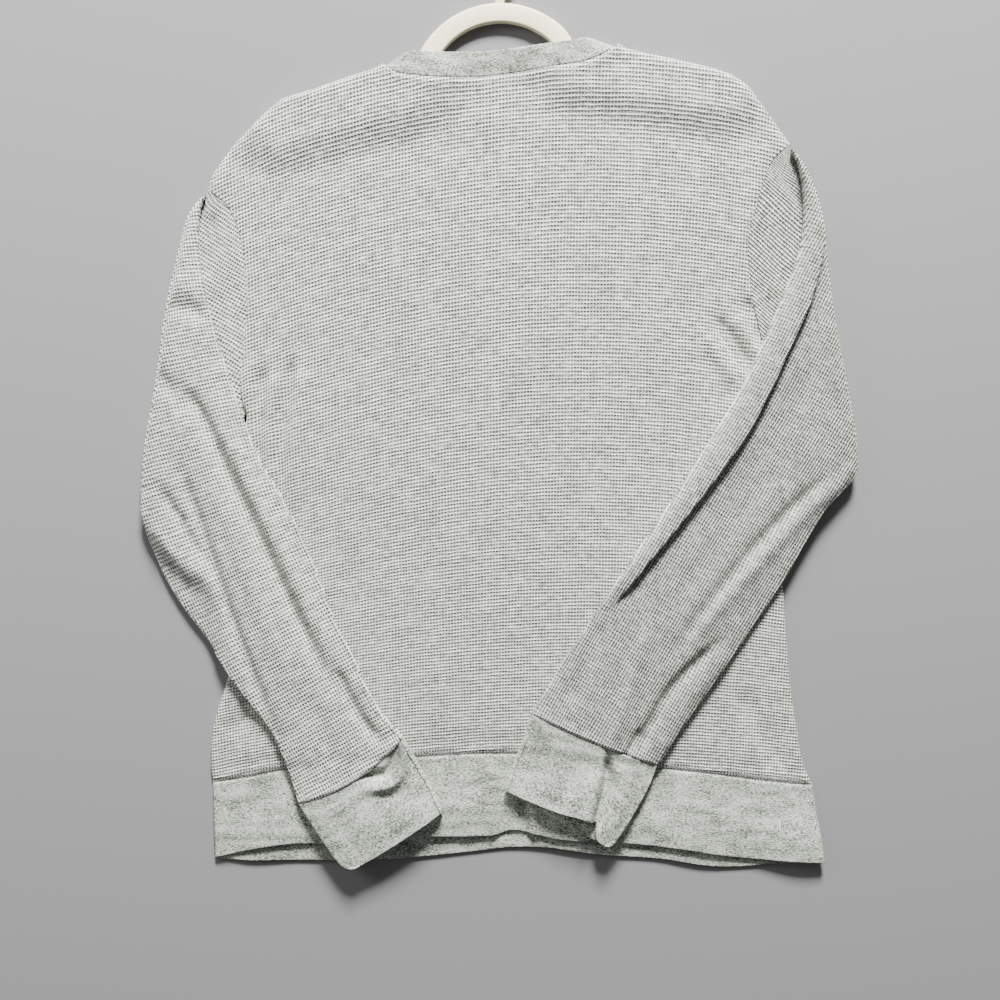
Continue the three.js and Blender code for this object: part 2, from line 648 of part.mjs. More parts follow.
// The hem band: a flat tube below the hem seam, its upper and lower edges each with their own line.
function hemBand(material) {
  const [[leftTop]] = HEM_SEAM;
  const [[leftLow]] = HEM_BACK_EDGE;
  const [rightTop] = HEM_SEAM[HEM_SEAM.length - 1];
  const [rightLow] = HEM_BACK_EDGE[HEM_BACK_EDGE.length - 1];
  const up = new THREE.Vector3(0, 0, 1);
  const station = (r, t, layer) => {
    const x = lerp(lerp(leftTop, leftLow, r), lerp(rightTop, rightLow, r), t);
    const backEdge = readTable(HEM_BACK_EDGE, x);
    const frontEdge = readTable(HEM_FRONT_EDGE, x);
    const edge = lerp(frontEdge, backEdge, (layer + 1) / 2);
    const y = lerp(readTable(HEM_SEAM, x), edge, r);
    const half = hemHeight(x, y, HEM_PLEAT.depth) / 2;
    return { middle: new THREE.Vector3(x, y, half), half, up };
  };
  const ringsAt = [0, 0.33, 0.66, 0.85, 1];
  return flatTube('hem_band', material, ringsAt, HEM_FACETS, BAND_WALL, station);
}

// The neckband: one closed strip. Its back half lies over the hanger, it turns over at each side
// of the neck, and its front half lies under the hanger.
function neckband(material) {
  const half = BAND_WALL / 2;
  const turnRadius = half + SEAM_GAP / 2;
  const frontSeam = curveThrough(FRONT_NECKLINE);
  const frontFree = curveThrough(BAND_FRONT_FREE);
  const acrossSteps = [0, 0.33, 0.67, 1];
  const place = (which, at, v) => {
    const inset = lerp(NECK_SEAM_GAP, 1, v);
    if (which === 'back') {
      return neckPoint(at, inset);
    }
    return frontSeam.getPointAt(at).lerp(frontFree.getPointAt(at), inset);
  };
  const turnWay = (end) => {
    const line = place('back', end, 1).sub(place('back', end, 0)).normalize();
    return end === 0 ? new THREE.Vector2(-line.y, line.x) : new THREE.Vector2(line.y, -line.x);
  };
  const outer = [];
  const inner = [];
  const addRow = (middles, normal) => {
    outer.push(middles.map((middle) => middle.clone().addScaledVector(normal, half)));
    inner.push(middles.map((middle) => middle.clone().addScaledVector(normal, -half)));
  };
  const flatRow = (which, u) => {
    const fromEnd = Math.min(u / NECK_TURN, (1 - u) / NECK_TURN, 1);
    const rise = Math.sqrt(1 - (1 - fromEnd) ** 2);
    const middles = acrossSteps.map((v) => {
      const { x, y } = place(which, u, v);
      const low = turnRadius * 2 + half - SEAM_GAP / 2;
      const over = low + (bodyHeight(x, y) + BAND_EXTRA - half - low) * rise;
      const inset = turnWay(u < 0.5 ? 0 : 1).multiplyScalar(-(turnRadius + half) * (1 - rise));
      return new THREE.Vector3(x + inset.x, y + inset.y, which === 'back' ? over : half);
    });
    addRow(middles, new THREE.Vector3(0, 0, which === 'back' ? 1 : -1));
  };
  const turn = (end, from) => {
    const way = turnWay(end);
    for (const degrees of [45, 90, 135]) {
      const angle = THREE.MathUtils.degToRad(from + degrees * (from === 0 ? 1 : -1));
      const middles = acrossSteps.map((v) => {
        const { x, y } = place('back', end, v);
        const reach = turnRadius * Math.sin(angle) - turnRadius - half;
        const z = half + turnRadius * (1 + Math.cos(angle));
        return new THREE.Vector3(x + way.x * reach, y + way.y * reach, z);
      });
      const side = way.clone().multiplyScalar(Math.sin(angle));
      addRow(middles, new THREE.Vector3(side.x, side.y, Math.cos(angle)));
    }
  };
  const steps = NECK_LINE.map(({ at }) => at);
  const between = steps.slice(1).map((at, i) => (at + steps[i]) / 2);
  const alongBack = [...steps, ...between, 0.01, 0.99].sort((a, b) => a - b);
  alongBack.forEach((at) => flatRow('back', at));
  turn(1, 0);
  [...steps].reverse().forEach((at) => flatRow('front', at));
  turn(0, 180);
  const transposed = (grid) => acrossSteps.map((_, column) => grid.map((row) => row[column]));
  return wall('neckband', material, transposed(outer), transposed(inner), true);
}

// A flat bar of even width along a line of points, with round ends.
function barAlong(points, width) {
  const line = curveThrough(points);
  const count = Math.ceil(line.getLength() / HANGER_FACET);
  const reach = width / 2 - HANGER_BEVEL;
  const sides = { left: [], right: [] };
  for (let i = 0; i <= count; i += 1) {
    const place = line.getPointAt(i / count);
    const way = line.getTangentAt(i / count);
    const aside = new THREE.Vector2(-way.y, way.x).multiplyScalar(reach);
    sides.left.push(place.clone().add(aside));
    sides.right.push(place.clone().sub(aside));
  }
  const cap = (at, direction) => {
    const place = line.getPointAt(at);
    const way = line.getTangentAt(at).multiplyScalar(direction);
    const start = Math.atan2(way.y, way.x) - Math.PI / 2;
    return [1, 2, 3, 4].map((i) => {
      const angle = start + (Math.PI * i) / 5;
      return new THREE.Vector2(Math.cos(angle), Math.sin(angle)).multiplyScalar(reach).add(place);
    });
  };
  const shape = new THREE.Shape([...sides.right, ...cap(1, 1), ...sides.left.reverse(), ...cap(0, -1)]);
  const geometry = new THREE.ExtrudeGeometry(shape, {
    depth: HANGER_THICKNESS - 2 * HANGER_BEVEL,
    bevelThickness: HANGER_BEVEL,
    bevelSize: HANGER_BEVEL,
    bevelSegments: 1,
  });
  geometry.translate(0, 0, HANGER_BOTTOM + HANGER_BEVEL);
  return solidOf(geometry);
}

// A manifold solid from a closed geometry.
function solidOf(geometry) {
  geometry.deleteAttribute('normal');
  geometry.deleteAttribute('uv');
  const merged = mergeVertices(geometry, 1e-3);
  const vertProperties = merged.attributes.position.array;
  const triVerts = new Uint32Array(merged.index.array);
  return new wasm.Manifold(new wasm.Mesh({ numProp: 3, vertProperties, triVerts }));
}

// The hanger: arms and arch in one bar, with a stem and an open hook at the top of the arch.
function hanger(material) {
  const crown = ARCH.y + ARCH.radius;
  const hookLine = [[ARCH.x, crown], [ARCH.x, crown + HOOK_STEM], ...arcPoints(HOOK)];
  const joined = barAlong(HANGER_LINE, HANGER_WIDTH).add(barAlong(hookLine, HOOK_WIDTH));
  const { vertProperties, triVerts, numProp } = joined.getMesh();
  const positions = [];
  for (let i = 0; i < vertProperties.length; i += numProp) {
    positions.push(...vertProperties.slice(i, i + 3));
  }
  return closedMesh('hanger', material, positions, [...triVerts]);
}

const knit = new THREE.MeshStandardMaterial({ color: KNIT_GREY, roughness: 0.95, metalness: 0 });
const jersey = new THREE.MeshStandardMaterial({ color: BAND_GREY, roughness: 0.92, metalness: 0 });
const plastic = new THREE.MeshStandardMaterial({ color: IVORY, roughness: 0.45, metalness: 0 });

const group = new THREE.Group();
group.add(
  frontPanel(knit.clone()),
  backPanel(knit.clone()),
  sleevePiece('sleeve_left', knit.clone(), LEFT_SLEEVE),
  sleevePiece('sleeve_right', knit.clone(), RIGHT_SLEEVE),
  cuffPiece('cuff_left', jersey.clone(), LEFT_CUFF, LEFT_SLEEVE),
  cuffPiece('cuff_right', jersey.clone(), RIGHT_CUFF, RIGHT_SLEEVE),
  neckband(jersey.clone()),
  hemBand(jersey.clone()),
  hanger(plastic),
);

// The origin is under the middle of the whole object's box.
const box = new THREE.Box3().setFromObject(group);
group.position.set(-(box.min.x + box.max.x) / 2, -(box.min.y + box.max.y) / 2, -box.min.z);

export default group;
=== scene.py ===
"""Looks of a waffle-knit thermal top laid face down, with its hanger inside and its sleeves folded
over the back. Sizes are in millimetres from the middle of the chest: +X right, +Y to the neck."""

import math

import bpy
import numpy as np
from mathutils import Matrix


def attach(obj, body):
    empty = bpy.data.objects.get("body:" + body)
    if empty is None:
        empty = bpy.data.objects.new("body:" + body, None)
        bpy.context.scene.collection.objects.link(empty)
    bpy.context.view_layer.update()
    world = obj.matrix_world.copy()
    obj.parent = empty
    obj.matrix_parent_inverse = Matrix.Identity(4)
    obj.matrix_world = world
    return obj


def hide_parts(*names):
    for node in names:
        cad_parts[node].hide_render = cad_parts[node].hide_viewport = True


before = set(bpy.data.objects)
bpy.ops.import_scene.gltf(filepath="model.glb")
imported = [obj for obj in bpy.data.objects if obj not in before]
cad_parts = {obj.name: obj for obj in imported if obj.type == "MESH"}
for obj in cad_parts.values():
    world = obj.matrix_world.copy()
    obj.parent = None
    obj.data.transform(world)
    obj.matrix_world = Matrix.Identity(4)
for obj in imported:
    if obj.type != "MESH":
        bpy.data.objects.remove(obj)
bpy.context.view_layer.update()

# Front panel: one piece of waffle-knit cotton blend with a deep crew neckline. The whole garment
# lies on its flat outer face. Its sides and shoulders are sewn to the back panel.
MM = 0.001
CHEST_TO_ORIGIN = np.array([0.986, -0.636, 0.0])
CLOTH_WALL = 0.8
FRONT_WALL = 1.5
FLAT_HEIGHT = 4.2
LOW_LEFT, HIGH_LEFT = -348, 200
LOW_RIGHT, HIGH_RIGHT = -351, 242
ARMPIT_RISE = 0.617
KNIT_GREY = (0.6, 0.645, 0.545)
WALE = 2.9
COURSE = 3.35

# How far up from the hem seam to the shoulder point, and where the left and right edges lie there.
BODY_SIDES = np.array([
    (0, -265, 289), (0.02, -267, 283), (0.04, -267, 279), (0.08, -266, 275), (0.12, -261, 271),
    (0.16, -254, 268), (0.2, -248, 266), (0.3, -247, 262), (0.4, -246, 259), (0.5, -244, 254),
    (0.56, -241, 250), (ARMPIT_RISE, -234, 248), (0.66, -239, 245), (0.705, -238, 240),
    (0.755, -235, 233), (0.805, -233, 229), (0.855, -234, 229), (0.9, -237, 236),
    (0.945, -244, 244), (0.975, -253, 252), (1, -270, 268),
])
SHOULDER_LEFT = [
    (-270, 200), (-266, 213), (-247, 240), (-219, 268), (-201, 283), (-174, 291), (-134, 305),
    (-107, 313),
]
SHOULDER_RIGHT = [
    (108, 331), (125, 327), (167, 318), (196, 311), (214, 305), (230, 294), (246, 273),
    (260, 253), (268, 242),
]
FRONT_NECKLINE = [
    (-107, 313), (-88, 262), (-52, 222), (0, 205), (54, 224), (90, 275), (108, 331),
]
HEM_SEAM = [
    (-265, -348), (-237, -344), (-197, -336), (-156, -331), (-64, -324), (-5, -321.5), (64, -326),
    (146, -335), (201, -341), (239, -346), (289, -351),
]


def step(low, high, at):
    """A smooth step from 0 at low to 1 at high: three squares less two cubes of the way there."""
    t = np.clip((at - low) / (high - low), 0, 1)
    return t * t * (3 - 2 * t)


def through(rows, at, key=0, value=1):
    """A column of a table read smoothly by another: between two rows it is the cubic that leaves
    each row with the mean slope of the stretches beside it."""
    rows = np.asarray(rows, float)
    if rows[0, key] > rows[-1, key]:
        rows = rows[::-1]
    keys, values = rows[:, key], rows[:, value]
    slopes = np.gradient(values, keys)
    at = np.clip(at, keys[0], keys[-1])
    i = np.clip(np.searchsorted(keys, at) - 1, 0, len(keys) - 2)
    span = keys[i + 1] - keys[i]
    t = (at - keys[i]) / span
    start = (1 + 2 * t) * (1 - t) ** 2 * values[i] + t * (1 - t) ** 2 * span * slopes[i]
    end = t * t * (3 - 2 * t) * values[i + 1] - t * t * (1 - t) * span * slopes[i + 1]
    return start + end


def curve(points, t):
    """Places on a smooth curve through points, by the share of them passed: between two points it
    leaves each in the direction from the one before to the one after (Catmull-Rom)."""
    points = np.asarray(points, float)
    at = np.clip(t, 0, 1) * (len(points) - 1)
    i = np.clip(at.astype(int), 0, len(points) - 2)
    f = (at - i)[..., None]
    before, here = points[np.maximum(i - 1, 0)], points[i]
    ahead, after = points[i + 1], points[np.minimum(i + 2, len(points) - 1)]
    leave, reach = (ahead - before) / 2, (after - here) / 2
    cubic = 2 * here - 2 * ahead + leave + reach
    square = 3 * ahead - 3 * here - 2 * leave - reach
    return ((cubic * f + square) * f + leave) * f + here


def curve_by_length(points, share):
    """Places on the same curve, by the share of its length passed."""
    fine = np.linspace(0, 1, 600)
    places = curve(points, fine)
    run = np.concatenate([[0], np.cumsum(np.linalg.norm(np.diff(places, axis=0), axis=1))])
    return curve(points, np.interp(np.clip(share, 0, 1) * run[-1], run, fine))


def body_edge(side, rise):
    """A place on the left (1) or right (2) edge of the body at a rise above the hem seam."""
    low, high = ((LOW_LEFT, HIGH_LEFT), (LOW_RIGHT, HIGH_RIGHT))[side - 1]
    return np.stack([through(BODY_SIDES, rise, 0, side), low + (high - low) * rise], -1)


def panel(u, v, top_rows):
    """Places on a sheet between the hem seam, the two sides and a top edge: the sheets drawn
    straight between opposite edges, added up, less the one through the four corners."""
    left, right = body_edge(1, np.zeros(())), body_edge(2, np.zeros(()))
    hem_x = left[0] + (right[0] - left[0]) * u
    hem = np.stack([hem_x, through(HEM_SEAM, hem_x)], -1)
    top_left, top_right = np.array(top_rows[0], float), np.array(top_rows[-1], float)
    top_x = top_left[0] + (top_right[0] - top_left[0]) * u
    top = np.stack([top_x, np.interp(top_x, *np.array(top_rows, float).T)], -1)
    u, v = u[..., None], v[..., None]
    rows = hem * (1 - v) + top * v
    columns = body_edge(1, v[..., 0]) * (1 - u) + body_edge(2, v[..., 0]) * u
    corners = (left * (1 - u) + right * u) * (1 - v) + (top_left * (1 - u) + top_right * u) * v
    return rows + columns - corners


def grid_normals(places, ring):
    """Unit normals of a grid of places: the cross product of its steps along rows and columns."""
    down = np.gradient(places, axis=0)
    if ring:
        across = np.roll(places, -1, 1) - np.roll(places, 1, 1)
    else:
        across = np.gradient(places, axis=1)
    normals = np.cross(across, down)
    return normals / np.maximum(np.linalg.norm(normals, axis=-1, keepdims=True), 1e-9)


def round_ends(outer, inner, weave, wall):
    """Rounds the wall's first and last rows: three rows take the place of each, the first set back
    by half a wall, the others onward with the two layers drawn together."""
    for _ in range(2):
        onward = outer[-1] - outer[-2]
        onward /= np.maximum(np.linalg.norm(onward, axis=-1, keepdims=True), 1e-9)
        middle = (outer[-1] + inner[-1]) / 2
        half = outer[-1] - middle
        steps = [(-0.5 * wall, 1), (-0.2 * wall, 0.85), (0, 0.4)]
        outer = np.concatenate([outer[:-1], [middle + onward * go + half * thin for go, thin in steps]])
        inner = np.concatenate([inner[:-1], [middle + onward * go - half * thin for go, thin in steps]])
        weave = np.concatenate([weave, weave[-1:], weave[-1:]])
        outer, inner, weave = outer[::-1], inner[::-1], weave[::-1]
    return outer, inner, weave


def shell(name, outer, weave, wall=CLOTH_WALL, ring=False, facing=1):
    """A closed wall of cloth under a grid of places (rows, columns, 3). Its inner face lies one
    wall inside along the normals, and rims close it. Where the grid doubles over and that falls
    below the floor, it is mirrored up. weave gives each place on the flat cloth, for the UV map in
    metres, with one column more where the columns close on themselves (ring)."""
    normals = grid_normals(outer, ring)
    away = outer - outer.mean(axis=1, keepdims=True) if ring else np.array([0, 0, facing])
    normals *= np.sign((normals * away).sum())
    inner = outer - normals * wall
    inner[..., 2] = np.abs(inner[..., 2])
    outer, inner, weave = round_ends(outer, inner, weave, wall)
    rows, columns = outer.shape[:2]
    spans = columns if ring else columns - 1
    wide = weave.shape[1]
    row, column = np.arange(rows - 1)[:, None], np.arange(spans)[None, :]

    def quads(width, turns):
        ahead = (column + 1) % width if turns else column + 1
        here, below = row * width, (row + 1) * width
        return np.stack([here + column, here + ahead, below + ahead, below + column], -1)

    outside, cloth = quads(columns, ring), quads(wide, False)
    under = rows * columns
    faces = [outside.reshape(-1, 4), outside.reshape(-1, 4)[:, ::-1] + under]
    spots = [cloth.reshape(-1, 4), cloth.reshape(-1, 4)[:, ::-1]]

    def rim(first, second, first_spot, second_spot):
        faces.append(np.stack([second, first, first + under, second + under], -1))
        spots.append(np.stack([second_spot, first_spot, first_spot, second_spot], -1))

    rim(outside[0, :, 0], outside[0, :, 1], cloth[0, :, 0], cloth[0, :, 1])
    rim(outside[-1, :, 2], outside[-1, :, 3], cloth[-1, :, 2], cloth[-1, :, 3])
    if not ring:
        rim(outside[:, 0, 3], outside[:, 0, 0], cloth[:, 0, 3], cloth[:, 0, 0])
        rim(outside[:, -1, 1], outside[:, -1, 2], cloth[:, -1, 1], cloth[:, -1, 2])
    vertices = np.concatenate([outer.reshape(-1, 3), inner.reshape(-1, 3)])
    return mesh_piece(name, vertices, np.concatenate(faces), weave.reshape(-1, 2), np.concatenate(spots))


def mesh_piece(name, vertices, faces, weave, spots, sharp=50):
    """An object from vertices in millimetres and faces, turned round if their volume is negative,
    with the UV map that spots picks from the flat places."""
    a, b, c, d = (vertices[faces[:, i]] for i in range(4))
    volume = np.einsum("ij,ij->", np.cross(a, b), c) + np.einsum("ij,ij->", np.cross(a, c), d)
    if volume < 0:
        faces, spots = faces[:, ::-1], spots[:, ::-1]
    mesh = bpy.data.meshes.new(name)
    mesh.from_pydata(((vertices + CHEST_TO_ORIGIN) * MM).tolist(), [], faces.tolist())
    uv = mesh.uv_layers.new(name="cloth")
    uv.data.foreach_set("uv", (weave[spots].reshape(-1, 2) * MM).astype(np.float32).ravel())
    mesh.shade_smooth()
    mesh.set_sharp_from_angle(angle=math.radians(sharp))
    piece = bpy.data.objects.new(name, mesh)
    bpy.context.scene.collection.objects.link(piece)
    return piece


class Shade:
    """A number or colour that varies over a surface, as a socket of a material's nodes. Sums,
    differences, products and quotients of it add their Math nodes."""

    def __init__(self, tree, socket=None):
        self.tree = tree
        self.socket = socket

    def add(self, kind, settings=None, sockets=None, output=0):
        """A new node: its settings first, then the values or links of its sockets."""
        node = self.tree.nodes.new(kind)
        for name, value in (settings or {}).items():
            setattr(node, name, value)
        for name, value in (sockets or {}).items():
            if isinstance(value, Shade):
                self.tree.links.new(value.socket, node.inputs[name])
            else:
                node.inputs[name].default_value = value
        return Shade(self.tree, node.outputs[output])

    def math(self, operation, *others):
        values = {0: self, **{i + 1: other for i, other in enumerate(others)}}
        return self.add("ShaderNodeMath", {"operation": operation}, values)

    def __add__(self, other):
        return self.math("ADD", other)

    __radd__ = __add__

    def __mul__(self, other):
        return self.math("MULTIPLY", other)

    __rmul__ = __mul__

    def __sub__(self, other):
        return self.math("SUBTRACT", other)

    def __rsub__(self, other):
        return self * -1 + other

    def __truediv__(self, other):
        return self.math("DIVIDE", other)

    def __rtruediv__(self, other):
        return self.math("POWER", -1) * other

    def cosine(self):
        return self.math("COSINE")

    def clamped(self):
        return self.add("ShaderNodeClamp", None, {"Value": self})

    def mixed(self, low, high):
        """Goes from the colour low at 0 to the colour high at 1."""
        colours = {0: self, 6: low, 7: high}
        return self.add("ShaderNodeMix", {"data_type": "RGBA"}, colours, output=2)

    def feed(self, socket):
        self.tree.links.new(self.socket, socket)


def new_material(name):
    """A material, the sockets of its shader, and an empty Shade that adds nodes to it."""
    material = bpy.data.materials.new(name)
    material.use_nodes = True
    tree = material.node_tree
    return material, tree.nodes["Principled BSDF"].inputs, Shade(tree)


def noise(shade, place, across, along, detail=2.0):
    """Smooth noise from -1 to 1 over the flat cloth, its patches so many millimetres each way."""
    scale = (1 / (across * MM), 1 / (along * MM), 1.0)
    stretched = shade.add("ShaderNodeVectorMath", {"operation": "MULTIPLY"}, {0: place, 1: scale})
    sockets = {"Vector": stretched, "Scale": 1.0, "Detail": detail, "Roughness": 0.6}
    return shade.add("ShaderNodeTexNoise", {"noise_dimensions": "2D"}, sockets) * 2 - 1


def cloth_material(name, colour, ribs=0.0, rows=0.0, contrast=0.8, relief=0.5, streak=(7.5, 1.5),
                   drawn=0.0):
    """Heather cotton: short pale and dark streaks along the courses, flecks and slow patches. With
    ribs or rows it is a waffle: a pit in each cell, the product of two raised cosines across
    and along the cloth, with grooves of those depths between the wales and between the courses.
    The pits and grooves are bumps, and their colour is also darkened as painted shade in the hollows.
    Where the cloth is drawn out along the wales, the pits run together by that share."""
    material, shader, shade = new_material(name)
    place = shade.add("ShaderNodeUVMap", {"uv_map": "cloth"})
    streaks = noise(shade, place, *streak, 3.0)
    flecks = noise(shade, place, 1.7, 1.3, 2.0)
    patches = noise(shade, place, 26, 9)
    tone = streaks * 0.75 + flecks * 0.6 + patches * 0.4
    height = streaks * 0.12 + flecks * 0.25
    if ribs or rows:
        wander = noise(shade, place, 34, 27) * 0.35
        split = shade.add("ShaderNodeSeparateXYZ", None, {0: place})
        up = Shade(shade.tree, split.socket.node.outputs[1])
        across = ((split / (WALE * MM) + wander) * math.tau).cosine() * 0.5 + 0.5
        along = ((up / (COURSE * MM) + wander * 0.8) * math.tau).cosine() * 0.5 + 0.5
        pit = (across * (along * (1 - drawn) + drawn) * (1.5 + flecks * 1.6 + patches * 0.9)).clamped()
        grooves = across * ribs + along * rows
        # Pits and grooves darken the colour here as painted shade for the waffle's hollows; the ridges are
        # lifted to match.
        tone = tone + 0.22 - pit * 0.6 - grooves * 0.3
        height = height * 0.6 - pit - grooves
    dark = [channel * 0.24 for channel in colour]
    light = [min(channel * 1.62, 0.97) for channel in colour]
    colours = (tone * contrast + 0.47).clamped().mixed((*dark, 1), (*light, 1))
    bump = shade.add("ShaderNodeBump", None, {"Height": height, "Distance": relief * MM, "Strength": 1.0})
    colours.feed(shader["Base Color"])
    bump.feed(shader["Normal"])
    shader["Roughness"].default_value = 0.95
    shader["Specular IOR Level"].default_value = 0.12
    shader["Sheen Weight"].default_value = 0.12
    shader["Sheen Roughness"].default_value = 0.6
    return material


def settle(piece, node, material):
    """Gives a piece its material and stands it for its node of the frame."""
    piece.data.materials.append(material)
    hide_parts(node)
    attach(piece, "root")
    return piece


waffle = cloth_material("waffle_knit", KNIT_GREY, ribs=0.11, rows=0.1, contrast=0.95, relief=1.2)
front_top = SHOULDER_LEFT[:-1] + curve_by_length(FRONT_NECKLINE, np.linspace(0, 1, 60)).tolist()
front_top += SHOULDER_RIGHT[1:]
u, v = np.meshgrid(np.linspace(0, 1, 150), np.linspace(0, 1, 150))
flat = panel(u, v, front_top)
outer = np.concatenate([flat, np.zeros(flat.shape[:2] + (1,))], -1)
front_panel = shell("front_panel_cloth", outer, flat, FRONT_WALL, facing=-1)
settle(front_panel, "front_panel", waffle)

# Hanger: one flat moulding of ivory plastic with rounded edges: two arms, an arch through the neck
# and a hook that turns up from the crown of the arch.
HANGER_BOTTOM = 2.4
HANGER_THICKNESS = 6
HANGER_WIDTH = 18
HANGER_EDGE = 2.2
HOOK_WIDTH = 8.5
HOOK_STEM = 14
ARM_LEFT = [(-202, 261), (-160, 273), (-105, 288.5), (-84, 296), (-74, 304)]
ARM_RIGHT = [(68, 318), (80, 314.5), (100, 311.5), (155, 302), (203, 293)]
ARCH_MIDDLE = (0.5, 286)
ARCH_RADIUS = 75
HOOK_MIDDLE = (0, 406)
HOOK_RADIUS = 19
IVORY = (1.0, 0.93, 0.64)
OBJECT_PLACE = 3


def arc(middle, radius, start, end, count):
    """Points on part of a circle, from one angle in degrees to another."""
    turn = np.radians(np.linspace(start, end, count))
    return np.stack([middle[0] + radius * np.cos(turn), middle[1] + radius * np.sin(turn)], -1)


def bar(name, line, width, thickness, edge, round_count=5):
    """A flat bar along a line. Its section is a rectangle with quarter-circle corners, carried
    along the line and narrowed at each end by a half circle, where a middle point closes it."""
    count = 260
    share = np.linspace(0, 1, count)
    path = curve_by_length(line, share)
    length = np.linalg.norm(np.diff(path, axis=0), axis=1).sum()
    reach = np.minimum(np.minimum(share, 1 - share) * length / (width / 2), 1)
    narrow = np.sqrt(np.maximum(1 - (1 - reach) ** 2, 0.0004))
    way = np.gradient(path, axis=0)
    way /= np.linalg.norm(way, axis=1, keepdims=True)
    aside = np.stack([-way[:, 1], way[:, 0]], -1)
    turn = np.linspace(0, np.pi / 2, round_count)
    corner = np.stack([np.cos(turn), np.sin(turn)], -1) * edge
    section = []
    for sign_x, sign_z, order in ((1, 1, 1), (-1, 1, -1), (-1, -1, 1), (1, -1, -1)):
        offset = np.array([width / 2 - edge, thickness / 2 - edge])
        section.append(((corner + offset) * (sign_x, sign_z))[::order])
    section = np.concatenate(section)
    middle_height = HANGER_BOTTOM + thickness / 2
    places = path[:, None, :] + aside[:, None, :] * (section[None, :, :1] * narrow[:, None, None])
    heights = np.broadcast_to(section[None, :, 1] + middle_height, places.shape[:2])
    grid = np.concatenate([places, heights[..., None]], -1)
    columns = grid.shape[1]
    row, column = np.arange(count - 1)[:, None], np.arange(columns)[None, :]
    ahead = (column + 1) % columns
    here, below = row * columns, (row + 1) * columns
    side = np.stack([here + column, here + ahead, below + ahead, below + column], -1).reshape(-1, 4)
    vertices = grid.reshape(-1, 3)
    half = columns // 2
    first = np.arange(half - 1)
    caps = []
    for start, order in ((0, 1), ((count - 1) * columns, -1)):
        strip = np.stack([first + 1, first, columns - 1 - first, columns - 2 - first], -1)[:, ::order]
        caps.append(strip + start)
    faces = np.concatenate([side, *caps])
    return mesh_piece(name, vertices, faces, vertices[:, :2], faces, sharp=60)


def plastic_material(name, colour):
    """Smooth moulded plastic with a faint cloudiness and a soft gloss."""
    material, shader, shade = new_material(name)
    place = shade.add("ShaderNodeTexCoord", output=OBJECT_PLACE)
    cloud = shade.add("ShaderNodeTexNoise", None, {"Vector": place, "Scale": 35.0, "Detail": 3.0})
    grain = shade.add("ShaderNodeTexNoise", None, {"Vector": place, "Scale": 900.0, "Detail": 2.0})
    deep = [channel * 0.93 for channel in colour]
    colours = cloud.mixed((*deep, 1), (*colour, 1))
    bump = shade.add("ShaderNodeBump", None, {"Height": grain, "Distance": 0.06 * MM, "Strength": 0.5})
    colours.feed(shader["Base Color"])
    (cloud * 0.1 + 0.36).feed(shader["Roughness"])
    bump.feed(shader["Normal"])
    shader["Subsurface Weight"].default_value = 0.08
    shader["Subsurface Radius"].default_value = (0.002, 0.0016, 0.001)
    return material


hanger_line = np.concatenate([ARM_LEFT, arc(ARCH_MIDDLE, ARCH_RADIUS, 158, 45.5, 10), ARM_RIGHT])
crown = ARCH_MIDDLE[1] + ARCH_RADIUS
hook_line = np.concatenate([
    [(ARCH_MIDDLE[0], crown), (ARCH_MIDDLE[0], crown + HOOK_STEM)],
    arc(HOOK_MIDDLE, HOOK_RADIUS, -38, 195, 11),
])
ivory = plastic_material("ivory_plastic", IVORY)
hanger = bar("hanger_body", hanger_line, HANGER_WIDTH, HANGER_THICKNESS, HANGER_EDGE)
settle(hanger, "hanger", ivory)
hook = bar("hanger_hook", hook_line, HOOK_WIDTH, HANGER_THICKNESS - 0.6, HANGER_EDGE)
settle(hook, "hanger", ivory)

# Back panel: waffle knit, uppermost here. It drapes over the hanger, turns down to the front panel
# at its sides and shoulders, and creases below each armhole where the sleeves pull it.
HANGER_DRAPE = 54
HANGER_COVER = 2.4
LAYER_GAP = 0.5
EDGE_ROUND = 6
BACK_PUFF = 1.8
SEAM_DIP = 0.8
SEAM_SWELL = 1.0
SEAM_REACH = 1.3
SIDE_DIP = 0.9
COURSE_ARCH = 0.00062
COURSE_CROWN = 83
STITCH_ROWS = (1.9, 5.7)
STITCH_PITCH = 3.1
THREAD_GREY = (0.84, 0.87, 0.79)
NECK_LEFT, NECK_RIGHT = -107, 108
FREE_LEFT, FREE_RIGHT = -89, 85
# Share of the way across the neck, height of the seam there and of the band's free edge.
NECK_LINE = np.array([
    (0, 313, 325), (0.05, 305, 324.5), (0.12, 302.5, 324), (0.21, 300.5, 323.5),
    (0.31, 300.5, 323.5), (0.43, 303, 325), (0.55, 306, 327), (0.66, 308.5, 329),
    (0.77, 311.5, 331.5), (0.87, 315.5, 334), (0.95, 323, 336.5), (1, 331, 338),
])
# Creases of the back: the line, how deep it is pressed in (raised where negative) and its reach.
BACK_CREASES = [
    ([(-219, 34), (-222, -5), (-225, -56)], 6.0, 5),
    ([(-229, 44), (-233, 0), (-234, -40)], -2.4, 5),
    ([(-191, 40), (-197, 5), (-201, -30), (-204, -100)], 8.5, 4.2),
    ([(-207, 30), (-212, -20), (-214, -80)], -4.8, 5.5),
    ([(-180, 34), (-186, -5), (-190, -90)], -4.2, 9),
    ([(200, 78), (212, 60), (228, 34)], 8.0, 4.6),
    ([(188, 66), (203, 42), (216, 18)], -3.4, 7),
    ([(216, 84), (226, 64), (238, 44)], -2.6, 5),
    ([(226, 96), (234, 80), (244, 60)], 6.4, 4.4),
    ([(-228, -270), (-238, -288), (-252, -305)], 2.6, 8),
    ([(222, -262), (238, -296), (259, -340)], 2.6, 10),
    ([(0, 97), (-1, -60), (1, -180), (0, -271)], 0.8, 3),
    ([(-150, 250), (-60, 236), (40, 240)], 0.8, 16),
    ([(-120, -60), (-40, -130), (20, -220)], -0.9, 22),
    ([(60, 120), (120, 20), (130, -80)], 0.8, 24),
]


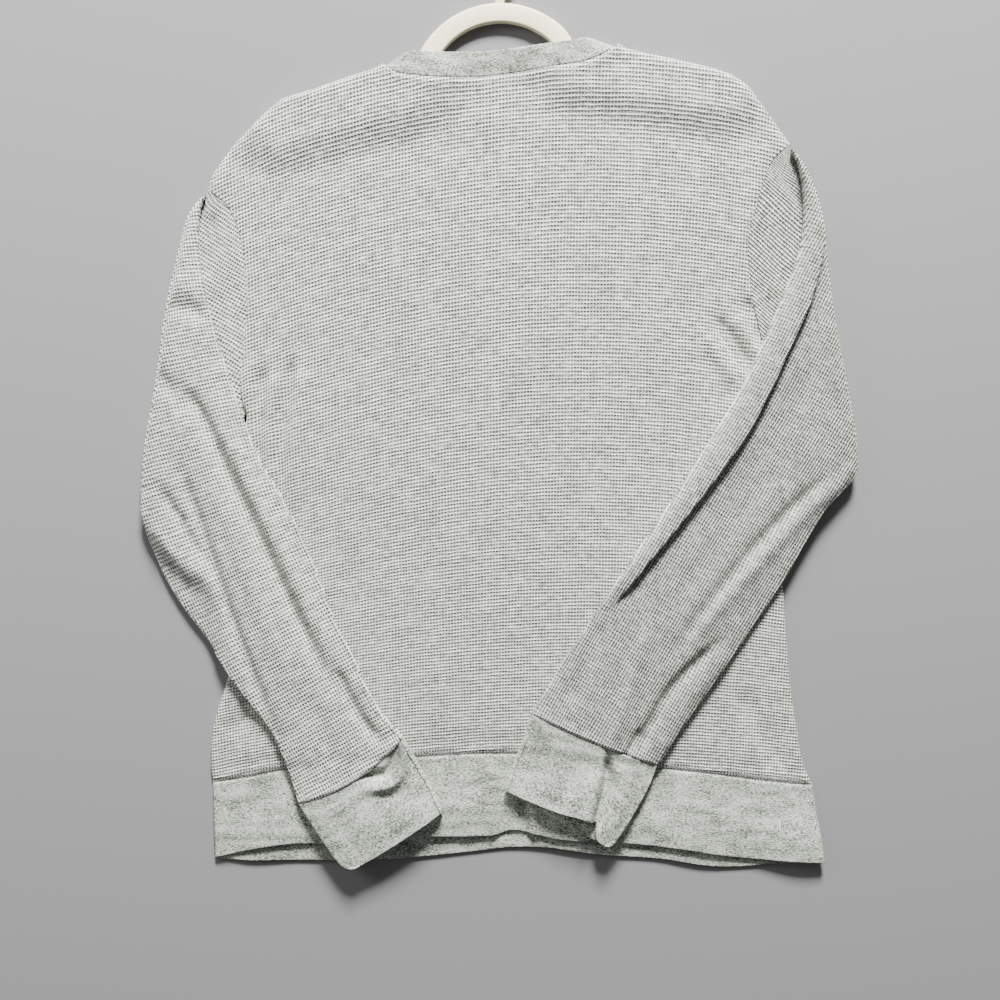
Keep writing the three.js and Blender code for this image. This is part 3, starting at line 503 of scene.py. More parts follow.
def nearest_on(line, x, y):
    """Least distance from places to a smooth line, and the share of the line passed there: each
    place is dropped onto every short stretch of the line, and the nearest foot counts."""
    line = curve(line, np.linspace(0, 1, 6 * len(line)))
    start, way = line[:-1], np.diff(line, axis=0)
    from_x, from_y = x[..., None] - start[:, 0], y[..., None] - start[:, 1]
    share = np.clip((from_x * way[:, 0] + from_y * way[:, 1]) / (way**2).sum(1), 0, 1)
    gap = np.hypot(from_x - share * way[:, 0], from_y - share * way[:, 1])
    best = gap.argmin(-1)
    passed = (best + np.take_along_axis(share, best[..., None], -1)[..., 0]) / len(start)
    return gap.min(-1), passed


def bell(distance, reach):
    """A bell curve: 1 at no distance, and e to the minus square of the reaches away from it."""
    return np.exp(-((distance / reach) ** 2))


def creases(table, x, y):
    """Height that a table of creases adds: each is a bell of its depth across its line, and dies
    away smoothly over the first and last fifth of it."""
    height = np.zeros(np.shape(x))
    for line, depth, reach in table:
        gap, passed = nearest_on(line, x, y)
        taper = 0.25 + 0.75 * step(0, 0.2, passed) * (1 - step(0.8, 1, passed))
        height -= depth * taper * bell(gap, reach)
    return height


def body_height(x, y):
    """Height of the body's upper layer: flat, and raised smoothly where it lies over the hanger."""
    over = HANGER_BOTTOM + HANGER_THICKNESS + HANGER_COVER - FLAT_HEIGHT
    return FLAT_HEIGHT + over * (1 - step(HANGER_WIDTH, HANGER_DRAPE, nearest_on(hanger_line, x, y)[0]))


def slack(x, y):
    """Slow unevenness of cloth laid by hand: three waves of different lengths and directions."""
    first = np.sin(x / 41 + y / 67) * np.sin(y / 53 - x / 97)
    second = np.sin(x / 19 - y / 31 + 1.3)
    return 0.45 * first + 0.2 * second * np.sin(y / 44 + 0.6)


def row_arch(x, y):
    """Flat place of the knit: its courses arch up to the right of the middle, less near the hem."""
    arch = COURSE_ARCH * (x - COURSE_CROWN) ** 2 * (0.55 + 0.45 * step(-330, -60, y))
    stretch = 1 - 0.00022 * (y + 40)
    return np.stack([x * (1 - 0.0002 * (y - 60)), (y + arch) * stretch], -1)


def neck_place(share, v):
    """A place on the back neckband: on its seam where v is 0 and on its free edge where v is 1."""
    seam = np.stack([NECK_LEFT + (NECK_RIGHT - NECK_LEFT) * share, through(NECK_LINE, share)], -1)
    free_x = FREE_LEFT + (FREE_RIGHT - FREE_LEFT) * share
    free = np.stack([free_x, through(NECK_LINE, share, 0, 2)], -1)
    return seam + (free - seam) * v[..., None]


neck_shares = np.linspace(0, 1, 60)[1:-1]
back_top = SHOULDER_LEFT + neck_place(neck_shares, np.zeros(58)).tolist() + SHOULDER_RIGHT
back_width, back_height = SHOULDER_RIGHT[-1][0] - SHOULDER_LEFT[0][0], HIGH_LEFT - LOW_LEFT
neck_start = (NECK_LEFT - SHOULDER_LEFT[0][0]) / back_width
neck_end = (NECK_RIGHT - SHOULDER_LEFT[0][0]) / back_width


def turned_down(weight, distance):
    """Share of the full height left near an edge that turns down by a quarter of an ellipse."""
    reach = np.clip(1 - distance / EDGE_ROUND, 0, 1)
    return 1 - weight * (1 - np.sqrt(1 - reach * reach))


def seam_relief(distance):
    """Height that a seam adds beside it: a narrow dip on the seam and a soft swell past it, with
    two faint dips under the twin rows of stitches. Each is a bell of the distance to the seam."""
    dip = -SEAM_DIP * bell(distance, SEAM_REACH)
    swell = SEAM_SWELL * bell(distance - 5.5, 4)
    rows = sum(-0.45 * bell(distance - row, 0.9) for row in STITCH_ROWS)
    return dip + swell + rows


def back_surface(u, v):
    """Places of the back's outer face: flat places from the panel, lifted to the body's height and
    its creases, and turned down at the sides below the armholes and at the shoulders."""
    flat = panel(u, v, back_top)
    x, y = flat[..., 0], flat[..., 1]
    beside_neck = np.maximum(neck_start - u, u - neck_end) * back_width
    side_weight = 1 - step(ARMPIT_RISE - 0.01, ARMPIT_RISE + 0.02, v)
    top_weight = step(0, 10, beside_neck)
    rise = turned_down(side_weight, u * back_width) * turned_down(side_weight, (1 - u) * back_width)
    rise = rise * turned_down(top_weight, (1 - v) * back_height)
    from_hem = y - through(HEM_SEAM, x)
    relief = (creases(BACK_CREASES, x, y) + slack(x, y) + BACK_PUFF) * step(0, 25, from_hem)
    relief = relief + seam_relief(from_hem) + seam_relief((1 - v) * back_height) * (1 - top_weight)
    from_side = np.minimum(u, 1 - u) * back_width
    relief = relief - SIDE_DIP * bell(from_side, 2) * (1 - side_weight)
    low = FRONT_WALL + LAYER_GAP
    full = np.maximum(body_height(x, y) + relief, FRONT_WALL + CLOTH_WALL + LAYER_GAP)
    return np.stack([x, y, low + (full - low) * rise], -1)


def stitch_rows(name, lines):
    """Rows of stitches along lines of places: a pip of thread to each pitch, diamond in section,
    thick in the middle and nearly pointed at its ends."""
    spots, ways = [], []
    for line in lines:
        run = np.concatenate([[0], np.cumsum(np.linalg.norm(np.diff(line, axis=0), axis=1))])
        at = np.arange(STITCH_PITCH / 2, run[-1] - STITCH_PITCH / 2, STITCH_PITCH)
        spot, ahead = (np.stack([np.interp(at + go, run, axis) for axis in line.T], -1) for go in (0, 0.5))
        spots.append(spot)
        ways.append(ahead - spot)
    spots, ways = np.concatenate(spots), np.concatenate(ways)
    ways /= np.linalg.norm(ways, axis=1, keepdims=True)
    aside = np.cross(ways, (0, 0, 1))
    up = np.cross(aside, ways)
    stations = np.array([(-1.3, 0.12), (0, 0.42), (1.3, 0.12)])
    section = np.array([(1, 0), (0, 0.9), (-1, 0), (0, -0.9)])
    spread = aside[:, None, None] * section[:, :1] + up[:, None, None] * section[:, 1:]
    vertices = spots[:, None, None] + ways[:, None, None] * stations[:, None, :1]
    vertices = (vertices + spread * stations[:, None, 1:]).reshape(-1, 3)
    i = np.arange(4)
    side = np.stack([i, (i + 1) % 4, 4 + (i + 1) % 4, 4 + i], -1)
    pip = np.concatenate([side, side + 4, [[3, 2, 1, 0]], [[8, 9, 10, 11]]])
    faces = (pip[None] + 12 * np.arange(len(spots))[:, None, None]).reshape(-1, 4)
    piece = mesh_piece(name, vertices, faces, vertices[:, :2], faces)
    piece.data.materials.append(thread)
    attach(piece, "root")


edge_steps = np.array([0, 0.6, 1.4, 2.4, 3.6, 5, 7.5])
seam_steps = np.array([0, 0.6, 1.2, 1.8, 2.4, 3, 3.6, 4.2, 4.8, 5.4, 6, 6.8, 7.8, 9])
inside = np.linspace(10 / back_width, 1 - 10 / back_width, 180)
u = np.concatenate([edge_steps / back_width, inside, 1 - edge_steps[::-1] / back_width])
inside = np.linspace(11 / back_height, 1 - 11 / back_height, 205)
v = np.concatenate([seam_steps / back_height, inside, 1 - seam_steps[::-1] / back_height])
u, v = np.meshgrid(u, v)
outer = back_surface(u, v)
back_panel = shell("back_panel_cloth", outer, row_arch(outer[..., 0], outer[..., 1]))
settle(back_panel, "back_panel", waffle)
thread = cloth_material("cotton_thread", THREAD_GREY, relief=0.1)
neck_u = np.linspace(neck_start, neck_end, 120)
hem_u = np.linspace(0.012, 0.988, 260)
back_rows = [back_surface(neck_u, 1 - row / back_height + 0 * neck_u) for row in STITCH_ROWS]
back_rows += [back_surface(hem_u, row / back_height + 0 * hem_u) for row in STITCH_ROWS]
stitch_rows("back_stitches", back_rows)

# Hem band: a tube of plain jersey, folded double and sewn to the waffle. Its upper layer ends a
# little higher than the lower one, parts from it in waves and is pleated at the middle.
BAND_EXTRA = 0.4
BAND_WALL = 1.2
BAND_DIP = 1.1
JERSEY_GREY = (0.41, 0.437, 0.372)
TUBE_EDGE = 2.6
HEM_WIDTH = 556
HEM_DEPTH = 80
HEM_PARTING = 0.9
HEM_EDGE_DROP = 1.7
HEM_LOWEST = 3.4
HEM_BACK_EDGE = [
    (-263, -417), (-222, -408), (-190, -404), (-154, -404), (-64, -397), (-27, -397), (-1, -395),
    (8, -392), (28, -394), (45, -398), (109, -403), (142, -406), (175, -410), (206, -415),
    (252, -419), (299, -421),
]
HEM_FRONT_EDGE = [
    (-263, -418), (-237, -420), (-190, -420), (-146, -420), (-64, -416), (-25, -412), (12, -408),
    (37, -408), (94, -415), (149, -419), (201, -426), (222, -426), (263, -422), (299, -422),
]
# Where the upper layer stands off the lower one: its middle, reach and height.
HEM_LIFTS = [
    (-200, 30, 0.9), (-60, 34, 1.8), (-22, 16, 1.4), (62, 40, 1.8), (130, 26, 0.7), (190, 40, 1.6),
    (262, 30, 1.2),
]
# Where the whole hem stands off the floor at its edge.
HEM_WAVES = [(0, 400, 1.2), (-225, 26, 1.4), (-120, 50, 1.6), (70, 40, 2), (180, 34, 1.4), (285, 36, 4.2)]
HEM_CREASES = [
    ([(1, -318), (3, -360), (2, -408)], 2.6, 3),
    ([(-7, -320), (-6, -404)], -1.6, 5),
    ([(24, -340), (23, -372), (22, -404)], 3.0, 4.5),
    ([(31, -340), (31, -404)], -2.4, 4.5),
    ([(-180, -345), (-172, -395)], 0.9, 9),
    ([(150, -345), (176, -400)], 0.9, 12),
]


def tube_turn(first_count, second_count, edge_count=4):
    """Columns of one turn round a flattened tube: the share across, the set-in from the nearer
    edge and the level from 1 to -1. Each edge is a half circle, each layer straight between."""
    bend = np.linspace(0, np.pi / 2, edge_count + 1)
    share, inset, level = [], [], []
    for layer, count in ((1, first_count), (-1, second_count)):
        middle = np.arange(1, count) / count
        start, way = (0, 1) if layer > 0 else (1, -1)
        share += [np.full(edge_count + 1, start), start + way * middle, np.full(edge_count, 1 - start)]
        inset += [way * (1 - np.cos(bend)), 0 * middle, -way * (1 - np.cos(bend[:0:-1]))]
        level += [layer * np.sin(bend), layer + 0 * middle, layer * np.sin(bend[:0:-1])]
    return np.concatenate(share), np.concatenate(inset), np.concatenate(level)


def bells(table, x):
    """Height of a row of bells, each with its middle, reach and height."""
    return sum(high * bell(x - middle, reach) for middle, reach, high in table)


def hem_layer(r, t, layer):
    """Places and heights of one layer of the hem: r runs from the seam to the lower edge and t
    across. The upper layer rises away from the lower one towards its edge."""
    left, right = HEM_SEAM[0][0], HEM_SEAM[-1][0]
    left_low, right_low = HEM_BACK_EDGE[0][0], HEM_BACK_EDGE[-1][0]
    x = (left + (left_low - left) * r) * (1 - t) + (right + (right_low - right) * r) * t
    back, front = through(HEM_BACK_EDGE, x), through(HEM_FRONT_EDGE, x)
    edge = front + (back - front) * (layer + 1) / 2
    seam = through(HEM_SEAM, x)
    y = seam + (edge - seam) * r
    down = step(0, 60, seam - y)
    relief = (creases(HEM_CREASES, x, y) + slack(x, y)) * step(0, 18, seam - y)
    relief = relief - BAND_DIP * bell(seam - y, SEAM_REACH)
    parted = down * bells(HEM_LIFTS, x) + HEM_PARTING * down
    top = FLAT_HEIGHT + BAND_EXTRA + parted + relief - HEM_EDGE_DROP * step(0.6, 1, r)
    return x, y, np.maximum(top, HEM_LOWEST), bells(HEM_WAVES, x) * step(0.3, 1, r)


share, inset, level = tube_turn(230, 120)
r = np.concatenate([seam_steps / HEM_DEPTH, np.linspace(0.14, 1, 34)])[:, None]
t = share[None, :] + inset[None, :] * TUBE_EDGE / HEM_WIDTH
x, y, top, wave = hem_layer(r, t, np.sign(level)[None, :])
outer = np.stack([x, y, top * (1 + level[None, :]) / 2 + wave], -1)
weave_x = np.concatenate([x, x[:, :1]], 1)
weave_y = np.concatenate([y, y[:, :1]], 1)
jersey = cloth_material("plain_jersey", JERSEY_GREY, contrast=1.6, relief=0.4, streak=(3.4, 0.95))
hem_band = shell("hem_band_cloth", outer, np.stack([weave_x, weave_y], -1), BAND_WALL, ring=True)
settle(hem_band, "hem_band", jersey)

# Neckband: one closed strip of the same jersey. Its back half lies over the hanger, it turns under
# at each side of the neck, and its front half lies below the hanger.
BAND_FRONT_FREE = [
    (-89, 325), (-66, 275), (-38, 243), (0, 228), (39, 245), (67, 283), (85, 338),
]
NECK_TURN = 0.07
NECK_SEAM_GAP = 0.02
NECK_HALF = 1.0
TURN_RADIUS = 1.15


def neck_row(front, share, v):
    """Middle of the band at a share of the way across the neck, and v of the way to its free edge.
    Towards each end the back half comes down by a quarter circle and draws in for the turn."""
    inset_v = NECK_SEAM_GAP + (1 - NECK_SEAM_GAP) * v
    if front:
        seam = curve_by_length(FRONT_NECKLINE, share)
        free = curve_by_length(BAND_FRONT_FREE, share)
        places = seam + (free - seam) * inset_v[..., None]
    else:
        places = neck_place(share, inset_v)
    from_end = np.minimum(np.minimum(share, 1 - share) / NECK_TURN, 1)
    rise = np.sqrt(1 - (1 - from_end) ** 2)
    x, y = places[..., 0], places[..., 1]
    low = TURN_RADIUS * 2 + NECK_HALF - 0.15
    puffed = 0.5 * (1 - (2 * v - 1) ** 2) + 0.25 * np.sin(x / 9.0) * np.sin(y / 5.0 + x / 21)
    over = low + (body_height(x, y) + BAND_EXTRA + 0.6 + puffed - NECK_HALF - low) * rise
    draw = -(TURN_RADIUS + NECK_HALF) * (1 - rise)
    way = neck_way(share)
    z = np.full(x.shape, NECK_HALF) if front else over
    return np.stack([x + way[..., 0] * draw, y + way[..., 1] * draw, z], -1)


def neck_way(share):
    """Outward direction along the neck at its nearer end: square to the end's own line."""
    ends = []
    for end, sign in ((0.0, 1), (1.0, -1)):
        line = neck_place(np.array([end]), np.ones(1)) - neck_place(np.array([end]), np.zeros(1))
        line = line[0] / np.linalg.norm(line[0])
        ends.append(np.array([-line[1], line[0]]) * sign)
    return np.where((share < 0.5)[..., None], ends[0], ends[1])


v = np.linspace(0, 1, 12)[:, None]
near_end = np.linspace(0, 0.1, 14)
along_back = np.concatenate([near_end[:-1], np.linspace(0.1, 0.9, 120), 1 - near_end[-2::-1]])
back_half = neck_row(False, *np.broadcast_arrays(along_back[None, :], v))
front_half = neck_row(True, *np.broadcast_arrays(np.linspace(1, 0, 150)[None, :], v))


def neck_turn(end, start, stop):
    """The band's half turn round one end of the neck, between two angles in degrees."""
    angle = np.radians(np.linspace(start, stop, 8)[1:-1])[None, :]
    share = np.full(np.broadcast(angle, v).shape, float(end))
    places = neck_place(share, NECK_SEAM_GAP + (1 - NECK_SEAM_GAP) * np.broadcast_to(v, share.shape))
    reach = TURN_RADIUS * np.sin(angle) - TURN_RADIUS - NECK_HALF
    height = np.broadcast_to(NECK_HALF + TURN_RADIUS * (1 + np.cos(angle)), share.shape)
    way = neck_way(share)
    plan = places + way * reach[..., None]
    return np.stack([plan[..., 0], plan[..., 1], height], -1)


middle = np.concatenate([back_half, neck_turn(1, 0, 180), front_half, neck_turn(0, 180, 0)], 1)
normals = grid_normals(middle, True)
normals *= np.sign(normals[:, 20, 2].sum())
outer = middle + normals * NECK_HALF
run = np.linalg.norm(np.diff(np.concatenate([middle, middle[:, :1]], 1), axis=1), axis=-1)
run = np.concatenate([np.zeros((len(middle), 1)), np.cumsum(run, 1)], 1)
weave = np.stack([run.mean(0) + 0 * run, 20 * v + 0 * run], -1)
neckband = shell("neckband_cloth", outer, weave, 2 * NECK_HALF, ring=True)
settle(neckband, "neckband", jersey)

# Sleeves: tubes of waffle knit set into the armholes. Each runs flat to a fold beside the body and
# doubles back over it; the right one has a long rolled pleat along its inner edge.
LAY_GAP = 0.6
UNDER_ROOM = 0.6
SEAM_GAP = 0.3
FOLD_RADIUS = (FLAT_HEIGHT + LAY_GAP) / 2
CAP_DEEPEST = 3
TUCK_COLUMNS = 34
SLEEVE_STRETCH = (1.09, 0.96)
RING_LENGTH = 41
SIDE_DRAPE = 30
SLEEVE_PUFF = 6.6
LEFT_SLEEVE = {
    "out": -1,
    "fold": [
        (-275, 192), (-288, 174), (-297, 141), (-305, 108), (-311, 74), (-318, 22), (-328, -37),
        (-331, -72), (-331, -88),
    ],
    "inner": [
        (-280, 165), (-277, 133), (-262, 69), (-244, 14), (-224, -42), (-199, -86), (-174, -137),
        (-153, -193), (-132, -236), (-114, -274), (-88, -305),
    ],
    "outer": [
        (-331, -93), (-329, -104), (-322, -129), (-308, -161), (-290, -190), (-270, -216),
        (-250, -246), (-230, -273), (-212, -296), (-199, -322), (-184, -366),
    ],
    "bow": 9,
    "floor": [
        (-285, 200), (-306, 100), (-322, 0), (-329, -92), (-300, -130), (-252, -175), (-247, -235),
        (-261, -281), (-266, -305), (-264, -430),
    ],
    "axis": [(-322, 190), (-296, 40), (-240, -140), (-136, -336)],
    "creases": [
        ([(-290, 16), (-272, -11), (-248, -63), (-219, -122), (-191, -183), (-153, -259)], 6.8, 6.5),
        ([(-262, -2), (-236, -58), (-206, -118), (-176, -182), (-138, -256)], -3.2, 9),
        ([(-290, -62), (-275, -107), (-260, -151), (-239, -214), (-206, -300)], 5.6, 6),
        ([(-262, -70), (-240, -126), (-218, -186), (-196, -244)], -2.6, 9),
        ([(-312, -75), (-293, -105), (-282, -124), (-264, -149)], 4.2, 6),
        ([(-318, -108), (-300, -136), (-280, -164)], -2.2, 8),
        ([(-312, 84), (-290, 88), (-268, 80)], 3.4, 7),
        ([(-314, 106), (-292, 108), (-268, 100)], -1.6, 9),
        ([(-318, 30), (-300, 14), (-288, -8)], 3.4, 7),
        ([(-150, -240), (-132, -280), (-112, -308)], 5.2, 5.5),
        ([(-132, -242), (-112, -284), (-98, -302)], -2.4, 7),
        ([(-180, -262), (-160, -306), (-150, -330)], 2.2, 10),
    ],
    "cap": [
        ([(-264, 178), (-269, 150), (-274, 116)], 4.0, 6),
        ([(-268, 188), (-275, 160), (-280, 130)], -1.2, 4),
        ([(-250, 110), (-264, 76), (-272, 50)], 1.2, 5),
    ],
}
RIGHT_SLEEVE = {
    "out": 1,
    "fold": [
        (272, 234), (283, 218), (293, 193), (299, 167), (301, 143), (308, 87), (317, 36), (325, -5),
        (329, -33), (329, -48),
    ],
    "inner": [
        (285, 190), (279, 155), (266, 117), (246, 69), (222, 17), (192, -33), (161, -82),
        (129, -129), (96, -178), (68, -220), (47, -253), (28, -283),
    ],
    "outer": [
        (329, -53), (328, -59), (324, -69), (312, -82), (297, -99), (280, -127), (263, -157),
        (241, -190), (216, -227), (193, -260), (169, -294), (144, -331),
    ],
    "bow": 2,
    "floor": [
        (275, 240), (296, 184), (307, 87), (317, 36), (325, -5), (328, -48), (300, -90), (275, -130),
        (262, -170), (267, -243), (273, -294), (283, -338), (289, -351), (299, -430),
    ],
    "axis": [(345, 150), (272, 10), (209, -95), (86, -307)],
    "creases": [
        ([(318, -63), (281, -96), (249, -130), (206, -176), (176, -212)], -3.6, 8),
        ([(304, -62), (266, -96), (232, -132), (190, -184), (158, -228)], 4.8, 6),
        ([(200, -216), (160, -256), (141, -286), (126, -318)], 6.4, 5),
        ([(134, -204), (119, -253), (104, -312)], -3.6, 7),
        ([(210, -226), (168, -275), (143, -326)], -2.2, 7),
        ([(128, -296), (120, -312), (110, -328)], 4.0, 3.6),
        ([(118, -250), (108, -290), (98, -316)], -1.6, 6),
        ([(290, 40), (262, -14), (226, -66), (190, -110)], 2.0, 11),
        ([(268, -40), (232, -84), (196, -130), (160, -180)], 2.0, 9),
        ([(96, -196), (80, -236), (62, -272)], 3.0, 8),
        ([(296, 96), (300, 50), (306, 10)], -1.0, 8),
    ],
    "cap": [
        ([(258, 226), (266, 203), (283, 185)], 2.4, 3.6),
        ([(268, 222), (277, 203), (288, 194)], -1.4, 4),
        ([(248, 150), (262, 120), (276, 96)], 1.2, 5),
        ([(240, 110), (248, 92), (256, 78)], 2.2, 4),
    ],
    "pleat": [
        (298, 167), (288, 115), (281, 91), (264, 53), (250, 22), (222, -31), (185, -82),
        (154, -121), (129, -150), (96, -179),
    ],
}
PLEAT_HEIGHT = 8.8
PLEAT_RISES = (-190, -150)
PLEAT_DIES = (150, 172)
# The rolled pleat's section from the low side to the top: millimetres past its edge, and level.
PLEAT_SECTION = [
    (8, 0), (3, -0.04), (-3, -0.04), (-8, 0.06), (-10, 0.24), (-8, 0.42), (-3, 0.48), (-0.4, 0.6),
    (0.3, 0.78), (-0.8, 0.94), (-4, 1), (-9, 1),
]


def hem_height(x, y):
    """Height of the top of the hem band, as its upper layer has it."""
    lift = bells(HEM_LIFTS + HEM_WAVES, x)
    down = step(0, 60, through(HEM_SEAM, x) - y)
    return FLAT_HEIGHT + BAND_EXTRA + down * (lift + HEM_PARTING) + UNDER_ROOM


def rest_height(sleeve, x, y):
    """Height on which a sleeve or cuff lies: the body, the hem, or the floor beside them."""
    outside = (x - through(sleeve["floor"], y, 1, 0)) * sleeve["out"]
    on_hem = step(-14, 0, through(HEM_SEAM, x) - y)
    on_body = FLAT_HEIGHT + BACK_PUFF + UNDER_ROOM
    under = on_body + (hem_height(x, y) - on_body) * on_hem
    return LAY_GAP + under * (1 - step(0, SIDE_DRAPE, outside))


def axis_place(axis, x, y):
    """Flat place of the knit of a sleeve: how far aside of its curved axis and how far along. Each
    place is dropped onto every short stretch of the axis, and the nearest one measures it."""
    line = curve(axis, np.linspace(0, 1, 26))
    line = np.concatenate([[line[0] * 9 - line[1] * 8], line, [line[-1] * 9 - line[-2] * 8]])
    way = np.diff(line, axis=0)
    length = np.linalg.norm(way, axis=1)
    way /= length[:, None]
    run = np.concatenate([[0], np.cumsum(length)[:-1]])
    from_x, from_y = x[..., None] - line[:-1, 0], y[..., None] - line[:-1, 1]
    along = np.clip(from_x * way[:, 0] + from_y * way[:, 1], 0, length)
    aside = from_y * way[:, 0] - from_x * way[:, 1]
    gap = np.hypot(from_x - along * way[:, 0], from_y - along * way[:, 1])
    best = gap.argmin(-1)[..., None]
    nearest = [np.take_along_axis(values, best, -1)[..., 0] for values in (aside, along + run)]
    return np.stack(nearest, -1) * SLEEVE_STRETCH


def sleeve_plan(sleeve, r, t):
    """Middle of the sleeve seen from above. r is 0 at the armhole, 1 to 2 round the fold, and one
    more for each ring after it; t crosses the tube from its upper or inner edge."""
    out = sleeve["out"]
    bend_reach = FOLD_RADIUS + FLAT_HEIGHT / 2
    rises = BODY_SIDES[BODY_SIDES[:, 0] >= ARMPIT_RISE, 0]
    t = np.clip(t, 0, 1)
    rise = np.interp((1 - t) * (len(rises) - 1), np.arange(len(rises)), rises)
    armhole = body_edge(1 if out < 0 else 2, rise)
    armhole = armhole + np.stack([SEAM_GAP * out + 0 * t, -SEAM_GAP * (1 - t)], -1)
    fold = curve_by_length(sleeve["fold"], t) - (bend_reach * out, 0)
    count = len(sleeve["inner"])
    ring = np.clip((r - 2) / count, 0, 1)
    inset = np.stack([bend_reach * (1 - step(2, 3, r)) * out, 0 * r], -1)
    inner = curve([sleeve["fold"][0], *sleeve["inner"]], ring) - inset
    outer = curve([sleeve["fold"][-1], *sleeve["outer"]], ring) - inset
    across = outer - inner
    sideways = np.stack([-across[..., 1], across[..., 0]], -1)
    sideways /= np.linalg.norm(sideways, axis=-1, keepdims=True)
    bow = -4 * sleeve["bow"] * out * step(count - 2, count + 2, r) * t * (1 - t)
    straight = inner + across * t[..., None] + sideways * bow[..., None]
    late = fold + (straight - fold) * step(2, 4.5, r)[..., None]
    early = armhole + (fold - armhole) * np.clip(r, 0, 1)[..., None]
    return np.where((r <= 1)[..., None], early, np.where((r <= 2)[..., None], fold, late)), fold


def sleeve_weave(sleeve, r, plan, fold):
    """Flat place of the knit: beyond the fold as it lies, and before it turned back over the fold
    line, since the two are one cloth."""
    line = np.array(sleeve["fold"][-1], float) - np.array(sleeve["fold"][0], float)
    line /= np.linalg.norm(line)
    back = plan - fold
    mirrored = 2 * (back @ line)[..., None] * line - back
    hairpin = np.stack([sleeve["out"] * np.pi * FOLD_RADIUS * np.clip(2 - r, 0, 1), 0 * r], -1)
    unfolded = np.where((r <= 1)[..., None], fold + mirrored, plan) + hairpin
    return axis_place(sleeve["axis"], unfolded[..., 0], unfolded[..., 1])


def pleat_columns(sleeve, r):
    """Where the columns of the upper layer lie with the rolled pleat: the share across and the
    height added. Columns are dense in the tuck, which follows the pleat's own section."""
    fine = np.linspace(0, 1, 161)
    plan, _ = sleeve_plan(sleeve, *np.broadcast_arrays(r, fine[None, :]))
    beyond = plan[..., 0] - through(sleeve["pleat"], plan[..., 1], 1, 0)
    first = np.maximum((beyond > 0).argmax(1), 1)
    rows = np.arange(len(first))
    low, high = beyond[rows, first - 1], beyond[rows, first]
    crossed = np.clip(-low / np.where(high == low, 1, high - low), 0, 1)
    edge = fine[first - 1] + (fine[1] - fine[0]) * crossed
    edge = np.clip(edge, 0.1, 0.6)
    edge_y = plan[rows, first, 1]
    fade = step(*PLEAT_RISES, edge_y) * (1 - step(*PLEAT_DIES, edge_y))
    fade = (fade * step(2.0, 3.5, r[:, 0]))[:, None]
    width = np.linalg.norm(plan[:, -1] - plan[:, 0], axis=-1)[:, None]
    edge = edge[:, None]
    section = curve(PLEAT_SECTION, np.linspace(0, 1, TUCK_COLUMNS))
    flat_part = np.linspace(PLEAT_SECTION[0][0], PLEAT_SECTION[-1][0], TUCK_COLUMNS)
    past = flat_part + (section[:, 0] - flat_part) * fade
    tuck = edge + past / width
    outer_part = 1 + (tuck[:, :1] - 1) * np.linspace(0, 1, 46)[None, :-1] ** 0.95
    inner_part = tuck[:, -1:] * np.linspace(1, 0, 20)[None, 1:]
    strip = 0.35 + 0.65 * np.sqrt(1 - np.linspace(0, 1, 20)[1:] ** 2) + 0 * inner_part
    raised = np.concatenate([0 * outer_part, section[:, 1] + 0 * tuck, strip], 1) * fade * PLEAT_HEIGHT
    return np.concatenate([outer_part, tuck, inner_part], 1), raised


def sleeve_surface(sleeve, r, share, inset, level, raised=0.0):
    """Places of the sleeve's outer face and of its knit: a flat tube to the fold, a hairpin of half
    circles round it, then a tube lying on the body whose upper layer (level -1) stands off by a
    half ellipse of puff with its creases, and by what the pleat raises."""
    count = len(sleeve["inner"])
    ends = [sleeve_plan(sleeve, r[:, :1], np.full((len(r), 1), end))[0] for end in (0.0, 1.0)]
    width = np.linalg.norm(ends[1] - ends[0], axis=-1)
    t = np.clip(share + inset * TUBE_EDGE / width, 0, 1)
    plan, fold = sleeve_plan(sleeve, r, t)
    x, y = plan[..., 0], plan[..., 1]
    turn = np.pi * np.clip(r - 1, 0, 1)
    fold_z = FLAT_HEIGHT / 2 + FOLD_RADIUS * (1 - np.cos(turn))
    lean = FLAT_HEIGHT / 2 * level
    cap = creases(sleeve["cap"], x, y) * (level > 0) * level * step(0, 0.15, r) * (1 - step(0.8, 1, r))
    sideways = x + sleeve["out"] * (FOLD_RADIUS - lean) * np.sin(turn)
    fold_z = fold_z + lean * np.cos(turn) + np.maximum(cap, -CAP_DEEPEST)
    on_fold = np.stack([sideways, y, fold_z], -1)
    upperness = (1 - level) / 2
    puff = SLEEVE_PUFF * np.sqrt(4 * t * (1 - t)) + creases(sleeve["creases"], x, y) + slack(y, x)
    top = np.maximum(puff * step(2, 3.5, r), 0) * (level < 0) * np.abs(level)
    seam = seam_relief((count + 2 - r) * RING_LENGTH) * (level < 0)
    later_z = rest_height(sleeve, x, y) + (FLAT_HEIGHT + top + seam + raised) * upperness
    later = np.stack([x, y, later_z], -1)
    outer = np.where((r <= 2)[..., None], on_fold, later)
    return outer, sleeve_weave(sleeve, r, plan, fold)


